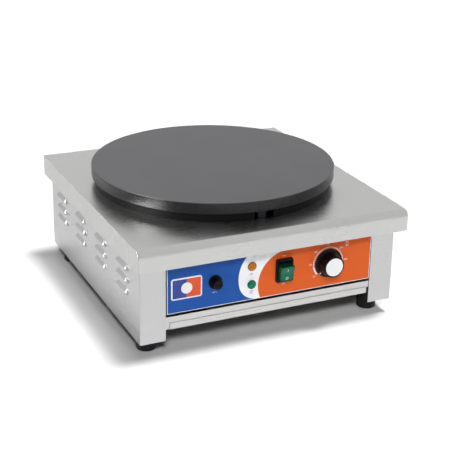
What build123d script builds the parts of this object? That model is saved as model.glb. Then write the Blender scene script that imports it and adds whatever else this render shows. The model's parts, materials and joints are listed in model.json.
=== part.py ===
from build123d import *
from math import cos, radians, sin
import os

# Electric crepe maker: a round cast-iron griddle on a folded stainless-steel housing.
# Millimetres, +Z up, +Y to the back. The origin is on the resting surface, under the
# centre of the top cover.

os.makedirs("parts", exist_ok=True)

# ------------------------------------------------------------------ driving dimensions

# Griddle plate, which the housing is made to fit
plate_diameter = 400.0
plate_rim = 17.8
plate_web = 13.0
plate_land = 32.0           # width of the thick rim
plate_gap = 14.2            # open height under the rim
plate_chamfer = 0.9

# Housing
cover_side_margin = 25.0    # cover beyond the plate
cover_front_margin = 48.4
cover_back_margin = 21.6
cover_skirt = 33.5          # height of the turned-down edge
cover_bend = 12.0           # outside radius of the front bend
cover_edge = 0.6            # rounding of the welded corners
sheet = 1.2                 # stainless sheet
body_height = 159.0         # underside of the side panels to the top of the cover
side_inset = 9.5            # side panels back from the cover's skirt
front_inset = 21.3
back_inset = 13.0
front_flange = 41.0         # face of each side panel that turns in at the front
rear_flange = 15.0
top_flange = 18.0
panel_bend = 2.0            # outside radius of the side panels' bends
seam = 0.2                  # gap between neighbouring sheets

# Louvres pressed out of the side and rear panels
louvre_length = 47.0
louvre_height = 9.0
louvre_depth = 4.6
louvre_sheet = 1.0
louvre_pitch_y = 100.3
louvre_pitch_z = 19.4
louvre_columns = 4
louvre_rows = 3
louvre_top = 109.5          # top row above the side panels' underside
louvre_shift = 9.5          # middle of the pattern behind the cover's centre
louvre_lip_share = 0.45     # of its height that stands upright
louvre_round_share = 0.4    # of its height, rounding of the lip
rear_louvre_columns = 3

# Feet
foot_reach = 24.0           # from the resting surface to the side panels
foot_radius = 16.2
foot_tip_radius = 15.2
foot_rounding = 3.0
foot_side_inset = 32.0      # in from the cover's sides
foot_front_inset = 35.0     # back from the side panels' face
foot_back_inset = 36.0
foot_recess_radius = 6.3
foot_recess_depth = 10.0

# Base pan and front rail
pan_raise = 18.0            # pan above the side panels' underside
pan_front_lip = 10.0
pan_lip_left_gap = 6.3      # from the lip's ends to the rail's ends
pan_lip_right_gap = 4.3
pan_lip = 25.0
pan_lip_relief = 22.0       # lips stop this far short of the pan's corners
pan_relief_width = 5.0      # notch beside the front lip's right end
pan_relief_depth = 14.0
rail_height = 20.0
rail_return = 14.0
rail_notch = 9.3            # cut under the rail's right end, above the pan

# Control panel
panel_left_gap = 2.1        # to the side panels' flanges
panel_right_gap = 1.1
panel_raise = 43.0          # lower edge above the side panels' underside
panel_return = 15.0
overlay = 0.5               # printed facing

# Badge place
badge_width = 49.7
badge_height = 34.5
badge_corner = 4.0
badge_thickness = 0.9
badge_inset = 31.1          # badge's middle from the panel's left end
badge_raise = 81.8

# What carries the plate
collar_inset = 5.0          # collar inside the plate's rim
collar_sheet = 1.5
collar_gap = 0.3            # between collar and plate
collar_notch = 32.0
collar_notch_reach = 17.0   # across the collar's sheet
support_radius = 11.0
support_inset = 19.0        # middle of a support inside the plate's rim
support_chamfer = 0.8
stud_radius = 4.0
stud_grip = 9.5             # stud held in the plate
stud_tail = 12.0            # stud below the cover
bolt_clearance = 0.3        # radial, bolts in plain holes
thread_clearance = 0.05     # radial, bolts in nuts and threads
stud_nut_flats = 13.0
stud_nut_height = 6.5
washer_radius = 8.5
washer_thickness = 1.6

# Heater pack under the plate
tray_land_gap = 1.0         # tray's flange inside the plate's land
tray_flange_width = 13.0
tray_clearance = 2.0        # radial, tray in the cover's opening
tray_sheet = 1.0
tray_depth = 33.0           # below the cover's top
blanket_thickness = 25.0
blanket_clearance = 0.5
reflector_sheet = 0.8
reflector_lip = 5.0
rivet_radius = 2.0
rivet_head = 3.6
rivet_head_height = 1.0
rivet_count = 4
rivet_angle = 15.0
element_diameter = 8.5
element_clearance = 0.1
ring_margin = 14.0          # outer ring inside the tray's wall
ring_pitch = 60.0
outer_gap = 10.0            # half angle of the ring's opening, degrees
inner_gap = 18.0
element_bend = 12.0
element_leg_end = 135.0     # height of the legs' lower ends
pin_radius = 2.0
pin_length = 12.0
link_width = 9.0
link_sheet = 1.0
clamp_arm_width = 25.0
clamp_sheet = 3.0
clamp_overhang = 9.0        # arms beyond the outer ring
clamp_stud_tail = 9.0

# Temperature sensing
bulb_radius = 3.0
bulb_clearance = 0.2
bulb_length = 78.0
bulb_margin = 28.0          # bulb inside the outer ring
limit_bulb_length = 62.0
limit_bulb_margin = 30.0    # bulb inside the inner ring
capillary_radius = 1.0
capillary_bend = 8.0
bulb_turn = 60.0            # where the capillary turns down, from the middle
limit_bulb_turn = 50.0
capillary_setback = 30.0    # crosswise run in front of the bulb
capillary_offset = 10.5     # end from the thermostat's middle
limiter_capillary_rise = 20.0
lead_clearance = 2.0        # radial, leads through the heater pack

# Thermostat, shaft and knob
knob_pitch = 77.3           # knob's axis from the switch's middle
knob_raise = 83.0
thermostat_size = 42.0
thermostat_depth = 30.0
thermostat_corner = 3.0
thermostat_screw_spacing = 24.0
thermostat_tab_spread = 10.0
screw_radius = 1.9
screw_head_radius = 3.2
screw_head_height = 1.6
screw_grip = 8.0
shaft_radius = 3.0
shaft_flat = 1.6            # flat's distance from the axis
running_clearance = 0.06
shaft_end_gap = 0.3
shaft_bore_depth = 22.0
knob_standoff = 0.8
knob_skirt_radius = 23.3
knob_skirt = 2.2
knob_base_radius = 18.8
knob_front_radius = 17.2
knob_reach = 21.0           # from the panel's face
knob_rounding = 1.0
knob_cap_radius = 15.0
knob_cap_thickness = 0.9
knob_cap_chamfer = 0.3
knob_hub_radius = 6.5
knob_hollow_radius = 15.9
knob_hollow_depth = 6.0
knob_bore_depth = 15.0

# Rocker switch
switch_pitch = 54.4         # switch's middle from the lamps
switch_raise = 83.8
bezel_width = 28.5
bezel_height = 38.5
bezel_thickness = 4.6
bezel_corner = 3.0
bezel_rounding = 0.9
switch_body_width = 25.5
switch_body_height = 34.5
switch_body_depth = 24.0
cutout_clearance = 0.25
rocker_lift = 1.2           # pivot above the bezel's middle
rocker_pivot_depth = 1.0    # pivot behind the panel's face
rocker_width = 22.0
rocker_side_gap = 0.5
rocker_reach = 14.2         # rocker's ends in front of the panel's face
rocker_dish = 1.4
rocker_half_front = 13.0
rocker_half_pivot = 10.6
rocker_half_back = 6.0
rocker_back = 4.0           # behind the pivot
rocker_throw = 12.0         # degrees each way
rocker_rounding = 0.6
well_half_height = 14.2
well_depth = 8.0
trunnion_radius = 1.5
trunnion_reach = 0.8
tab_width = 6.3
tab_sheet = 0.8
tab_length = 8.0
tab_rise = 8.0              # tabs above or below the middle of their fitting
switch_tab_spread = 6.0

# Pilot lamps
lamp_pitch = 60.8           # lamps from the fuse holder
lamp_raise = {"amber": 98.4, "green": 68.4}
lens_flange_radius = 7.2
lens_flange = 1.2
lens_radius = 6.3
lens_reach = 4.0
lens_dome = 14.0            # radius of the lens's domed front
lamp_body_radius = 5.0
lamp_body_depth = 26.0
lamp_nut_flats = 14.0
lamp_nut_height = 3.0

# Fuse holder
fuse_pitch = 46.3           # fuse holder from the badge's middle
fuse_raise = 83.3
fuse_flange_radius = 11.0
fuse_flange = 2.5
fuse_flange_rounding = 0.8
fuse_barrel_radius = 7.0
fuse_barrel_depth = 38.0
fuse_nut_flats = 19.0
fuse_nut_height = 5.0
carrier_radius = 4.7
carrier_clearance = 0.1
carrier_front = 2.0         # carrier's shoulder in front of the panel's face
carrier_depth = 33.0
carrier_neck_radius = 2.4
carrier_neck = 7.5
carrier_bore = 3.3
cartridge_radius = 3.2
cartridge_glass_radius = 2.8
cartridge_length = 30.0
cartridge_end = 6.0
cartridge_inset = 0.5
fuse_cap_gap = 0.3
fuse_cap_back_radius = 8.7
fuse_cap_front_radius = 7.6
fuse_cap_reach = 13.0
fuse_cap_bore_depth = 8.0
fuse_cap_rounding = 0.8
fuse_slot_width = 1.8
fuse_slot_depth = 1.4
fuse_slot_length = 11.5

# Cable gland in the rear panel
gland_x = 150.0
gland_clearance = 2.0       # its nut clears the pan's lip
gland_thread_radius = 10.0
gland_flats = 24.0
gland_flange = 5.0
gland_dome = 12.5           # total reach behind the rear panel
gland_dome_radius = 11.5
gland_dome_rounding = 3.75
gland_tail = 14.0
gland_bore = 5.0
gland_nut_flats = 26.0
gland_nut_height = 5.0

# Fittings inside, standing on the base pan
block_x = 150.0
block_back_inset = 57.0     # in front of the side panels' back
block_width = 46.0
block_depth = 22.0
block_height = 20.0
block_pitch = 12.0
block_screw_well = 3.2
block_screw_depth = 5.0
block_chamfer = 2.0
limiter_offset = 25.8       # limiter's middle from the lamps
limiter_setback = 93.7      # behind the side panels' face
limiter_corner = 3.0
limiter_width = 38.0
limiter_depth = 28.0
limiter_height = 30.0
limiter_tab_spread = 9.0
earth_side_inset = 35.0     # in from the cover's side
earth_back_inset = 102.0
earth_stud_radius = 2.5
earth_head_radius = 5.0
earth_stud_height = 16.0
earth_nut_flats = 8.0
earth_nut_height = 4.0
foot_screw_radius = 3.0
foot_screw_head = 5.5
foot_screw_head_height = 4.0
foot_screw_tail = 8.0
foot_nut_flats = 10.0
foot_nut_height = 5.0
rear_screw_radius = 2.0
rear_screw_head = 4.0
rear_screw_head_height = 2.2
rear_screw_grip = 7.0
rear_screw_edge = 7.5       # in from the side panel's face
rear_screw_heights = (60.0, 110.0, 160.0)

# Wiring
wire_radius = 1.7
wire_bend = 12.0
wire_gap = 0.3              # end of a wire to its terminal
wire_exit = 24.0            # straight run off a terminal before the first bend
mains_riser = 42.0          # where the mains wires rise, behind the switch's tabs
heater_wire_z = 70.0        # height at which the heater's wires cross the housing

# Tolerance for choosing edges and corners
pick = 0.001

# ------------------------------------------------------------------ places that follow

plate_radius = plate_diameter / 2
cover_width = plate_diameter + 2 * cover_side_margin
cover_depth = plate_diameter + cover_front_margin + cover_back_margin
plate_setback = (cover_front_margin - cover_back_margin) / 2
collar_radius = plate_radius - collar_inset
support_circle_radius = plate_radius - support_inset
tray_flange_radius = plate_radius - plate_land - tray_land_gap
tray_radius = tray_flange_radius - tray_flange_width
cover_opening_radius = tray_radius + tray_clearance
rivet_circle_radius = (cover_opening_radius + tray_flange_radius) / 2
outer_ring = tray_radius - ring_margin
inner_ring = outer_ring - ring_pitch
body_z = foot_reach
cover_z = body_z + body_height
cover_under = cover_z - sheet
skirt_z = cover_z - cover_skirt
plate_bottom = cover_z + plate_gap
plate_top = plate_bottom + plate_rim
web_bottom = plate_top - plate_web
pan_z = body_z + pan_raise
pan_floor = pan_z + sheet
front_y = -cover_depth / 2 + front_inset
back_y = cover_depth / 2 - back_inset
side_x = cover_width / 2 - side_inset
inner_x = side_x - sheet
panel_left = -side_x + front_flange + panel_left_gap
panel_right = side_x - front_flange - panel_right_gap
panel_width = panel_right - panel_left
panel_centre = (panel_left + panel_right) / 2
panel_face = front_y + overlay
panel_back = panel_face + sheet
panel_bottom = body_z + panel_raise
rear_panel_y = back_y - sheet
gland_height = pan_z + pan_lip + gland_nut_flats / 2 + gland_clearance
tray_bottom = cover_z - tray_depth
blanket_bottom = tray_bottom + tray_sheet
blanket_top = blanket_bottom + blanket_thickness
element_z = web_bottom - element_clearance - element_diameter / 2
clamp_top = element_z - element_diameter / 2
clamp_bottom = clamp_top - clamp_sheet
bulb_z = web_bottom - bulb_clearance - bulb_radius
bulb_y = plate_setback - outer_ring + bulb_margin
limit_bulb_y = plate_setback - inner_ring + limit_bulb_margin
badge_x = panel_left + badge_inset
fuse_x = badge_x + fuse_pitch
lamp_x = fuse_x + lamp_pitch
switch_x = lamp_x + switch_pitch
knob_x = switch_x + knob_pitch
limiter_x = lamp_x - limiter_offset
limiter_y = front_y + limiter_setback
block_y = back_y - block_back_inset
earth_x = cover_width / 2 - earth_side_inset
earth_y = back_y - earth_back_inset
knob_z = body_z + knob_raise
switch_z = body_z + switch_raise
rocker_z = switch_z + rocker_lift
fuse_z = body_z + fuse_raise
badge_z = body_z + badge_raise
support_angles = {"front": -90.0, "rear_right": 30.0, "rear_left": 150.0}
plate_axis = Axis((0, plate_setback, 0), (0, 0, 1))


def level(z):
    """Horizontal plane at height z, centred under the griddle plate."""
    return Plane((0, plate_setback, z))


def facing(y):
    """Upright plane at depth y that looks to the front; its axes are X and Z."""
    return Plane.XZ.offset(-y)


def turning(x, z):
    """Half plane for a turned piece on the front: its axes are reach and radius."""
    return Plane((x, front_y, z), x_dir=(0, -1, 0), z_dir=(1, 0, 0))


def reach_axis(x, z):
    """Axis that points out of the control panel's face."""
    return Axis((x, front_y, z), (0, -1, 0))


def polar(radius, angle):
    """Point on a circle about the plate's axis."""
    return (radius * cos(radians(angle)), plate_setback + radius * sin(radians(angle)))


def hex_nut(plane, flats, height, bore):
    """Hexagon nut with a plain bore, standing on a plane."""
    with BuildPart() as nut:
        with BuildSketch(plane):
            RegularPolygon(flats / 2, 6, major_radius=False)
            Circle(bore, mode=Mode.SUBTRACT)
        extrude(amount=height)
    return nut.part


def round_run(points, radius, bend):
    """Round wire along straight runs joined by tangent arcs."""
    with BuildPart() as run:
        with BuildLine() as route:
            FilletPolyline(*points, radius=bend)
        with BuildSketch(Plane(route.line @ 0, z_dir=route.line % 0)):
            Circle(radius)
        sweep(path=route.line)
    return run.part


# ------------------------------------------------------------------ heater leads

def element_points(ring, gap):
    """Ends of a heating ring and the places where its legs go down."""
    first = Vector(*polar(ring, 90 + gap), element_z)
    last = Vector(*polar(ring, 90 - gap), element_z)
    towards = Vector(cos(radians(gap)), sin(radians(gap)), 0)
    back = Vector(-cos(radians(gap)), sin(radians(gap)), 0)
    return first, towards, last, back


def leg_places(ring, gap):
    first, towards, last, back = element_points(ring, gap)
    left = first + towards * element_bend
    right = last + back * element_bend
    return [(left.X, left.Y), (right.X, right.Y)]


outer_legs = leg_places(outer_ring, outer_gap)
inner_legs = leg_places(inner_ring, inner_gap)
capillary_drops = [(bulb_turn, bulb_y), (-limit_bulb_turn, limit_bulb_y)]


def lead_holes(bottom):
    """Holes through one layer of the heater pack for the legs and capillaries."""
    with BuildSketch(Plane.XY.offset(bottom)) as holes:
        with Locations(*outer_legs, *inner_legs):
            Circle(element_diameter / 2 + lead_clearance)
        with Locations(*capillary_drops):
            Circle(capillary_radius + lead_clearance)
    return holes.sketch


# ------------------------------------------------------------------ top cover

with BuildPart() as top_cover:
    with BuildSketch(Plane.YZ.offset(-cover_width / 2)) as cover_outline:
        with Locations((0, skirt_z)):
            Rectangle(cover_depth, cover_skirt, align=(Align.CENTER, Align.MIN))
        fillet(cover_outline.vertices().group_by(Axis.Y)[-1].sort_by(Axis.X)[0], cover_bend)
    extrude(amount=cover_width)
    side_edges = top_cover.edges().filter_by(
        lambda edge: abs(abs(edge.center().X) - cover_width / 2) < pick
        and edge.center().Z > skirt_z + pick
    )
    back_edge = top_cover.edges().filter_by(Axis.X).group_by(Axis.Z)[-1].sort_by(Axis.Y)[-1]
    fillet(side_edges + [back_edge], cover_edge)
    with BuildSketch(Plane.YZ.offset(-cover_width / 2 + sheet)) as cover_hollow:
        with Locations((0, skirt_z)):
            Rectangle(
                cover_depth - 2 * sheet, cover_skirt - sheet, align=(Align.CENTER, Align.MIN)
            )
        fillet(
            cover_hollow.vertices().group_by(Axis.Y)[-1].sort_by(Axis.X)[0], cover_bend - sheet
        )
    extrude(amount=cover_width - 2 * sheet, mode=Mode.SUBTRACT)
    with BuildSketch(level(cover_under)):
        Circle(cover_opening_radius)
        with PolarLocations(support_circle_radius, 3, start_angle=support_angles["front"]):
            Circle(stud_radius + bolt_clearance)
        with PolarLocations(rivet_circle_radius, rivet_count, rivet_angle):
            Circle(rivet_radius + bolt_clearance)
    extrude(amount=sheet, mode=Mode.SUBTRACT)
top_cover.part.label = "top_cover"
export_step(top_cover.part, "parts/top_cover.step")

# ------------------------------------------------------------------ louvres


def louvre_profile(depth, height):
    """Section of one louvre: it slopes out of the sheet to an upright lip, open below."""
    with BuildSketch(Plane.XZ) as profile:
        with BuildLine():
            Polyline(
                (0, 0), (-depth, -(1 - louvre_lip_share) * height), (-depth, -height),
                (0, -height), close=True,
            )
        make_face()
        lip = profile.vertices().sort_by(Axis.X)[:2].sort_by(Axis.Y)[-1]
        fillet(lip, louvre_round_share * height)
    return profile.sketch


def louvre(depth, height):
    """Pressed louvre along Y with rounded ends; the sheet's face is at X = 0."""
    straight = louvre_length - 2 * louvre_depth
    section = louvre_profile(depth, height)
    with BuildPart() as pressing:
        extrude(section, amount=straight / 2, both=True)
        for end in (-1, 1):
            dome = revolve(section, axis=Axis.Z, revolution_arc=-90 * end, mode=Mode.PRIVATE)
            add(dome.moved(Location((0, end * straight / 2, 0))))
    return pressing.part


louvre_skin = louvre(louvre_depth, louvre_height)
with BuildPart() as louvre_hollow:
    hollow = louvre(louvre_depth - louvre_sheet, louvre_height - louvre_sheet)
    add(hollow.moved(Location((0, 0, -louvre_sheet))))
    with Locations((0, 0, -louvre_sheet)):
        Box(
            sheet + louvre_sheet, louvre_length - 2 * louvre_depth,
            louvre_height - louvre_sheet, align=(Align.MIN, Align.CENTER, Align.MAX),
        )


def louvre_places(columns, middle):
    """Middles of the louvres' upper edges, along the panel and up."""
    return [
        (
            middle + (column - (columns - 1) / 2) * louvre_pitch_y,
            body_z + louvre_top - row * louvre_pitch_z,
        )
        for column in range(columns)
        for row in range(louvre_rows)
    ]


# ------------------------------------------------------------------ side panels

panel_tall = cover_under - body_z

with BuildPart() as side_panel_left:
    with BuildSketch(Plane.XY.offset(body_z)) as side_section:
        with BuildLine():
            Polyline(
                (-side_x + front_flange, front_y), (-side_x, front_y), (-side_x, back_y),
                (-side_x + rear_flange, back_y), (-side_x + rear_flange, back_y - sheet),
                (-inner_x, back_y - sheet), (-inner_x, front_y + sheet),
                (-side_x + front_flange, front_y + sheet), close=True,
            )
        make_face()
        bends = side_section.vertices().sort_by(Axis.X)
        fillet(bends[:2], panel_bend)
        fillet(
            side_section.vertices().filter_by(lambda v: abs(v.X + inner_x) < pick),
            panel_bend - sheet,
        )
    extrude(amount=panel_tall)
    with BuildSketch(Plane.XY.offset(cover_under - sheet)):
        with Locations((-inner_x, front_y + sheet)):
            Rectangle(
                top_flange, rear_panel_y - front_y - 2 * sheet - seam, align=(Align.MIN, Align.MIN)
            )
    extrude(amount=sheet)
    louvre_spots = [
        (-side_x, y, z) for y, z in louvre_places(louvre_columns, louvre_shift)
    ]
    with Locations(*louvre_spots):
        add(louvre_skin)
        add(louvre_hollow.part, mode=Mode.SUBTRACT)
    with BuildSketch(facing(back_y)):
        with Locations(*[(-side_x + rear_screw_edge, z) for z in rear_screw_heights]):
            Circle(rear_screw_radius + bolt_clearance)
    extrude(amount=sheet, mode=Mode.SUBTRACT)
side_panel_left.part.label = "side_panel_left"
export_step(side_panel_left.part, "parts/side_panel_left.step")

with BuildPart() as side_panel_right:
    mirror(side_panel_left.part, about=Plane.YZ)
side_panel_right.part.label = "side_panel_right"
export_step(side_panel_right.part, "parts/side_panel_right.step")

# ------------------------------------------------------------------ rear panel

with BuildPart() as rear_panel:
    with BuildSketch(facing(rear_panel_y)):
        with Locations((0, pan_z)):
            Rectangle(
                2 * (inner_x - panel_bend + sheet), cover_under - pan_z,
                align=(Align.CENTER, Align.MIN),
            )
    extrude(amount=sheet)
    rear_spots = [
        Location((x, rear_panel_y, z), (0, 0, -90))
        for x, z in louvre_places(rear_louvre_columns, 0)
    ]
    with Locations(*rear_spots):
        add(louvre_skin)
        add(louvre_hollow.part, mode=Mode.SUBTRACT)
    with BuildSketch(facing(rear_panel_y)):
        with Locations(
            *[(s * (side_x - rear_screw_edge), z) for s in (-1, 1) for z in rear_screw_heights]
        ):
            Circle(rear_screw_radius + thread_clearance)
        with Locations((gland_x, gland_height)):
            Circle(gland_thread_radius + bolt_clearance)
    extrude(amount=sheet, mode=Mode.SUBTRACT)
rear_panel.part.label = "rear_panel"
export_step(rear_panel.part, "parts/rear_panel.step")

with BuildPart() as rear_panel_screws:
    for side in (-1, 1):
        for height in rear_screw_heights:
            with BuildSketch(facing(back_y)):
                with Locations((side * (side_x - rear_screw_edge), height)):
                    Circle(rear_screw_head)
            extrude(amount=-rear_screw_head_height)
            with BuildSketch(facing(back_y)):
                with Locations((side * (side_x - rear_screw_edge), height)):
                    Circle(rear_screw_radius)
            extrude(amount=rear_screw_grip)
rear_panel_screws.part.label = "rear_panel_screws"
export_step(rear_panel_screws.part, "parts/rear_panel_screws.step")

# ------------------------------------------------------------------ base pan

pan_edge_x = inner_x - seam
rail_edge = side_x - front_flange - seam
pan_front_lip_left = -rail_edge + pan_lip_left_gap
pan_front_lip_right = rail_edge - pan_lip_right_gap
pan_back_y = rear_panel_y - sheet - seam
foot_x = cover_width / 2 - foot_side_inset
foot_front = front_y + foot_front_inset
foot_back = back_y - foot_back_inset
foot_places = {
    "front_left": (-foot_x, foot_front),
    "front_right": (foot_x, foot_front),
    "back_left": (-foot_x, foot_back),
    "back_right": (foot_x, foot_back),
}

with BuildPart() as base_pan:
    flange_back = front_y + sheet + seam
    with BuildSketch(Plane.XY.offset(pan_z)):
        with Locations((0, flange_back)):
            Rectangle(2 * pan_edge_x, pan_back_y - flange_back, align=(Align.CENTER, Align.MIN))
        with Locations((pan_front_lip_left, front_y)):
            Rectangle(
                pan_front_lip_right - pan_front_lip_left, sheet + 2 * seam, align=Align.MIN
            )
        with Locations((pan_front_lip_right, front_y)):
            Rectangle(pan_relief_width, pan_relief_depth, align=Align.MIN, mode=Mode.SUBTRACT)
        with Locations(*foot_places.values()):
            Circle(foot_screw_radius + bolt_clearance, mode=Mode.SUBTRACT)
        with Locations((earth_x, earth_y)):
            Circle(earth_stud_radius + thread_clearance, mode=Mode.SUBTRACT)
    extrude(amount=sheet)
    with BuildSketch(Plane.XY.offset(pan_z)):
        with Locations((pan_front_lip_left, front_y)):
            Rectangle(pan_front_lip_right - pan_front_lip_left, sheet, align=Align.MIN)
    extrude(amount=pan_front_lip)
    with BuildSketch(Plane.XY.offset(pan_z)):
        with Locations((0, pan_back_y)):
            Rectangle(
                2 * (pan_edge_x - pan_lip_relief), sheet, align=(Align.CENTER, Align.MAX)
            )
        for end, align_x in ((-1, Align.MIN), (1, Align.MAX)):
            with Locations((end * pan_edge_x, (flange_back + pan_back_y) / 2)):
                Rectangle(
                    sheet, pan_back_y - flange_back - 2 * pan_lip_relief,
                    align=(align_x, Align.CENTER),
                )
    extrude(amount=pan_lip)
base_pan.part.label = "base_pan"
export_step(base_pan.part, "parts/base_pan.step")

# ------------------------------------------------------------------ front rail

rail_face = front_y + sheet + seam / 2

with BuildPart() as front_rail:
    with BuildSketch(facing(rail_face)):
        with Locations((0, pan_floor)):
            Rectangle(
                2 * rail_edge, pan_z + rail_height - pan_floor, align=(Align.CENTER, Align.MIN)
            )
        with Locations((pan_front_lip_right, pan_floor)):
            Rectangle(
                rail_edge - pan_front_lip_right, pan_z + rail_notch - pan_floor, align=Align.MIN,
                mode=Mode.SUBTRACT,
            )
    extrude(amount=-sheet)
    with BuildSketch(Plane.XY.offset(pan_floor)):
        with Locations((-rail_edge, rail_face)):
            Rectangle(rail_edge + pan_front_lip_right, rail_return, align=Align.MIN)
    extrude(amount=sheet)
front_rail.part.label = "front_rail"
export_step(front_rail.part, "parts/front_rail.step")

# ------------------------------------------------------------------ feet


def foot(x, y):
    """Tapered rubber foot with a recess for its screw."""
    with BuildPart() as rubber:
        with BuildSketch(Plane((x, y, 0), x_dir=(1, 0, 0), z_dir=(0, -1, 0))):
            with BuildLine():
                Polyline(
                    (foot_recess_radius, 0), (foot_tip_radius, 0), (foot_radius, pan_z),
                    (foot_screw_radius + bolt_clearance, pan_z),
                    (foot_screw_radius + bolt_clearance, foot_recess_depth),
                    (foot_recess_radius, foot_recess_depth), close=True,
                )
            make_face()
        revolve(axis=Axis((x, y, 0), (0, 0, 1)))
        rim = rubber.edges().filter_by(GeomType.CIRCLE).group_by(Axis.Z)[0]
        fillet(rim.sort_by(SortBy.RADIUS)[-1], foot_rounding)
    return rubber.part


for place, (x, y) in foot_places.items():
    with BuildPart() as rubber_foot:
        add(foot(x, y))
    rubber_foot.part.label = f"foot_{place}"
    export_step(rubber_foot.part, f"parts/foot_{place}.step")

with BuildPart() as foot_screws:
    for x, y in foot_places.values():
        with BuildSketch(Plane((x, y, foot_recess_depth - foot_screw_head_height))):
            Circle(foot_screw_head)
        extrude(amount=foot_screw_head_height)
        with BuildSketch(Plane((x, y, foot_recess_depth))):
            Circle(foot_screw_radius)
        extrude(amount=pan_floor + foot_screw_tail - foot_recess_depth)
foot_screws.part.label = "foot_screws"
export_step(foot_screws.part, "parts/foot_screws.step")

with BuildPart() as foot_nuts:
    for x, y in foot_places.values():
        add(
            hex_nut(
                Plane((x, y, pan_floor)), foot_nut_flats, foot_nut_height,
                foot_screw_radius + thread_clearance,
            )
        )
foot_nuts.part.label = "foot_nuts"
export_step(foot_nuts.part, "parts/foot_nuts.step")

# ------------------------------------------------------------------ control panel

panel_tall_front = cover_under - panel_bottom
front_holes = [
    (lamp_x, body_z + lamp_raise["amber"], lamp_body_radius),
    (lamp_x, body_z + lamp_raise["green"], lamp_body_radius),
    (fuse_x, fuse_z, fuse_barrel_radius),
    (knob_x, knob_z, shaft_radius + bolt_clearance),
    (knob_x - thermostat_screw_spacing / 2, knob_z, screw_radius),
    (knob_x + thermostat_screw_spacing / 2, knob_z, screw_radius),
]


def front_cutouts():
    """Holes in the panel and its facing for everything that is mounted there."""
    with BuildSketch(facing(front_y)) as holes:
        for x, z, radius in front_holes:
            with Locations((x, z)):
                Circle(radius + cutout_clearance)
        with Locations((switch_x, switch_z)):
            Rectangle(
                switch_body_width + 2 * cutout_clearance,
                switch_body_height + 2 * cutout_clearance,
            )
    return holes.sketch


with BuildPart() as control_panel:
    with BuildSketch(facing(panel_face)):
        with Locations((panel_centre, panel_bottom)):
            Rectangle(panel_width, panel_tall_front, align=(Align.CENTER, Align.MIN))
    extrude(amount=-panel_return)
    with BuildSketch(facing(panel_back)):
        with Locations((panel_centre, panel_bottom + sheet)):
            Rectangle(
                panel_width - 2 * sheet, panel_tall_front - 2 * sheet,
                align=(Align.CENTER, Align.MIN),
            )
    extrude(amount=-panel_return, mode=Mode.SUBTRACT)
    extrude(front_cutouts(), amount=-(overlay + sheet), mode=Mode.SUBTRACT)
control_panel.part.label = "control_panel"
export_step(control_panel.part, "parts/control_panel.step")

with BuildPart() as panel_facing:
    with BuildSketch(facing(front_y)):
        with Locations((panel_centre, panel_bottom)):
            Rectangle(panel_width, panel_tall_front, align=(Align.CENTER, Align.MIN))
    extrude(amount=-overlay)
    extrude(front_cutouts(), amount=-(overlay + sheet), mode=Mode.SUBTRACT)
panel_facing.part.label = "panel_facing"
export_step(panel_facing.part, "parts/panel_facing.step")

with BuildPart() as badge:
    with BuildSketch(facing(front_y)):
        with Locations((badge_x, badge_z)):
            RectangleRounded(badge_width, badge_height, badge_corner)
    extrude(amount=badge_thickness)
    fillet(badge.faces().sort_by(Axis.Y)[0].edges(), badge_thickness / 2)
badge.part.label = "badge"
export_step(badge.part, "parts/badge.step")

# ------------------------------------------------------------------ griddle plate

with BuildPart() as griddle_plate:
    with BuildSketch(Plane((0, plate_setback, 0), x_dir=(1, 0, 0), z_dir=(0, -1, 0))):
        with BuildLine():
            Polyline(
                (0, plate_top), (plate_radius - plate_chamfer, plate_top),
                (plate_radius, plate_top - plate_chamfer), (plate_radius, plate_bottom),
                (plate_radius - plate_land, plate_bottom), (plate_radius - plate_land, web_bottom),
                (0, web_bottom), close=True,
            )
        make_face()
    revolve(axis=plate_axis)
    lower_rim = griddle_plate.edges().filter_by(GeomType.CIRCLE).group_by(Axis.Z)[0]
    fillet(lower_rim.sort_by(SortBy.RADIUS)[-1], plate_chamfer)
    with BuildSketch(level(plate_bottom)):
        with PolarLocations(support_circle_radius, 3, start_angle=support_angles["front"]):
            Circle(stud_radius + thread_clearance)
    extrude(amount=stud_grip, mode=Mode.SUBTRACT)
    with BuildSketch(level(web_bottom)):
        Circle(stud_radius + thread_clearance)
    extrude(amount=stud_grip, mode=Mode.SUBTRACT)
griddle_plate.part.label = "griddle_plate"
export_step(griddle_plate.part, "parts/griddle_plate.step")

for place, angle in support_angles.items():
    with BuildPart() as support:
        x, y = polar(support_circle_radius, angle)
        with BuildSketch(Plane((x, y, cover_z))):
            Circle(support_radius)
            Circle(stud_radius + bolt_clearance, mode=Mode.SUBTRACT)
        extrude(amount=plate_gap)
        outer = support.faces().filter_by(GeomType.CYLINDER).sort_by(SortBy.AREA)[-1]
        chamfer(outer.edges().filter_by(GeomType.CIRCLE), support_chamfer)
    support.part.label = f"plate_support_{place}"
    export_step(support.part, f"parts/plate_support_{place}.step")

with BuildPart() as plate_studs:
    with BuildSketch(level(cover_under - stud_tail)):
        with PolarLocations(support_circle_radius, 3, start_angle=support_angles["front"]):
            Circle(stud_radius)
    extrude(amount=stud_tail + sheet + plate_gap + stud_grip - thread_clearance)
plate_studs.part.label = "plate_studs"
export_step(plate_studs.part, "parts/plate_studs.step")

with BuildPart() as plate_washers:
    with BuildSketch(level(cover_under - washer_thickness)):
        with PolarLocations(support_circle_radius, 3, start_angle=support_angles["front"]):
            Circle(washer_radius)
            Circle(stud_radius + bolt_clearance, mode=Mode.SUBTRACT)
    extrude(amount=washer_thickness)
plate_washers.part.label = "plate_washers"
export_step(plate_washers.part, "parts/plate_washers.step")

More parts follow.
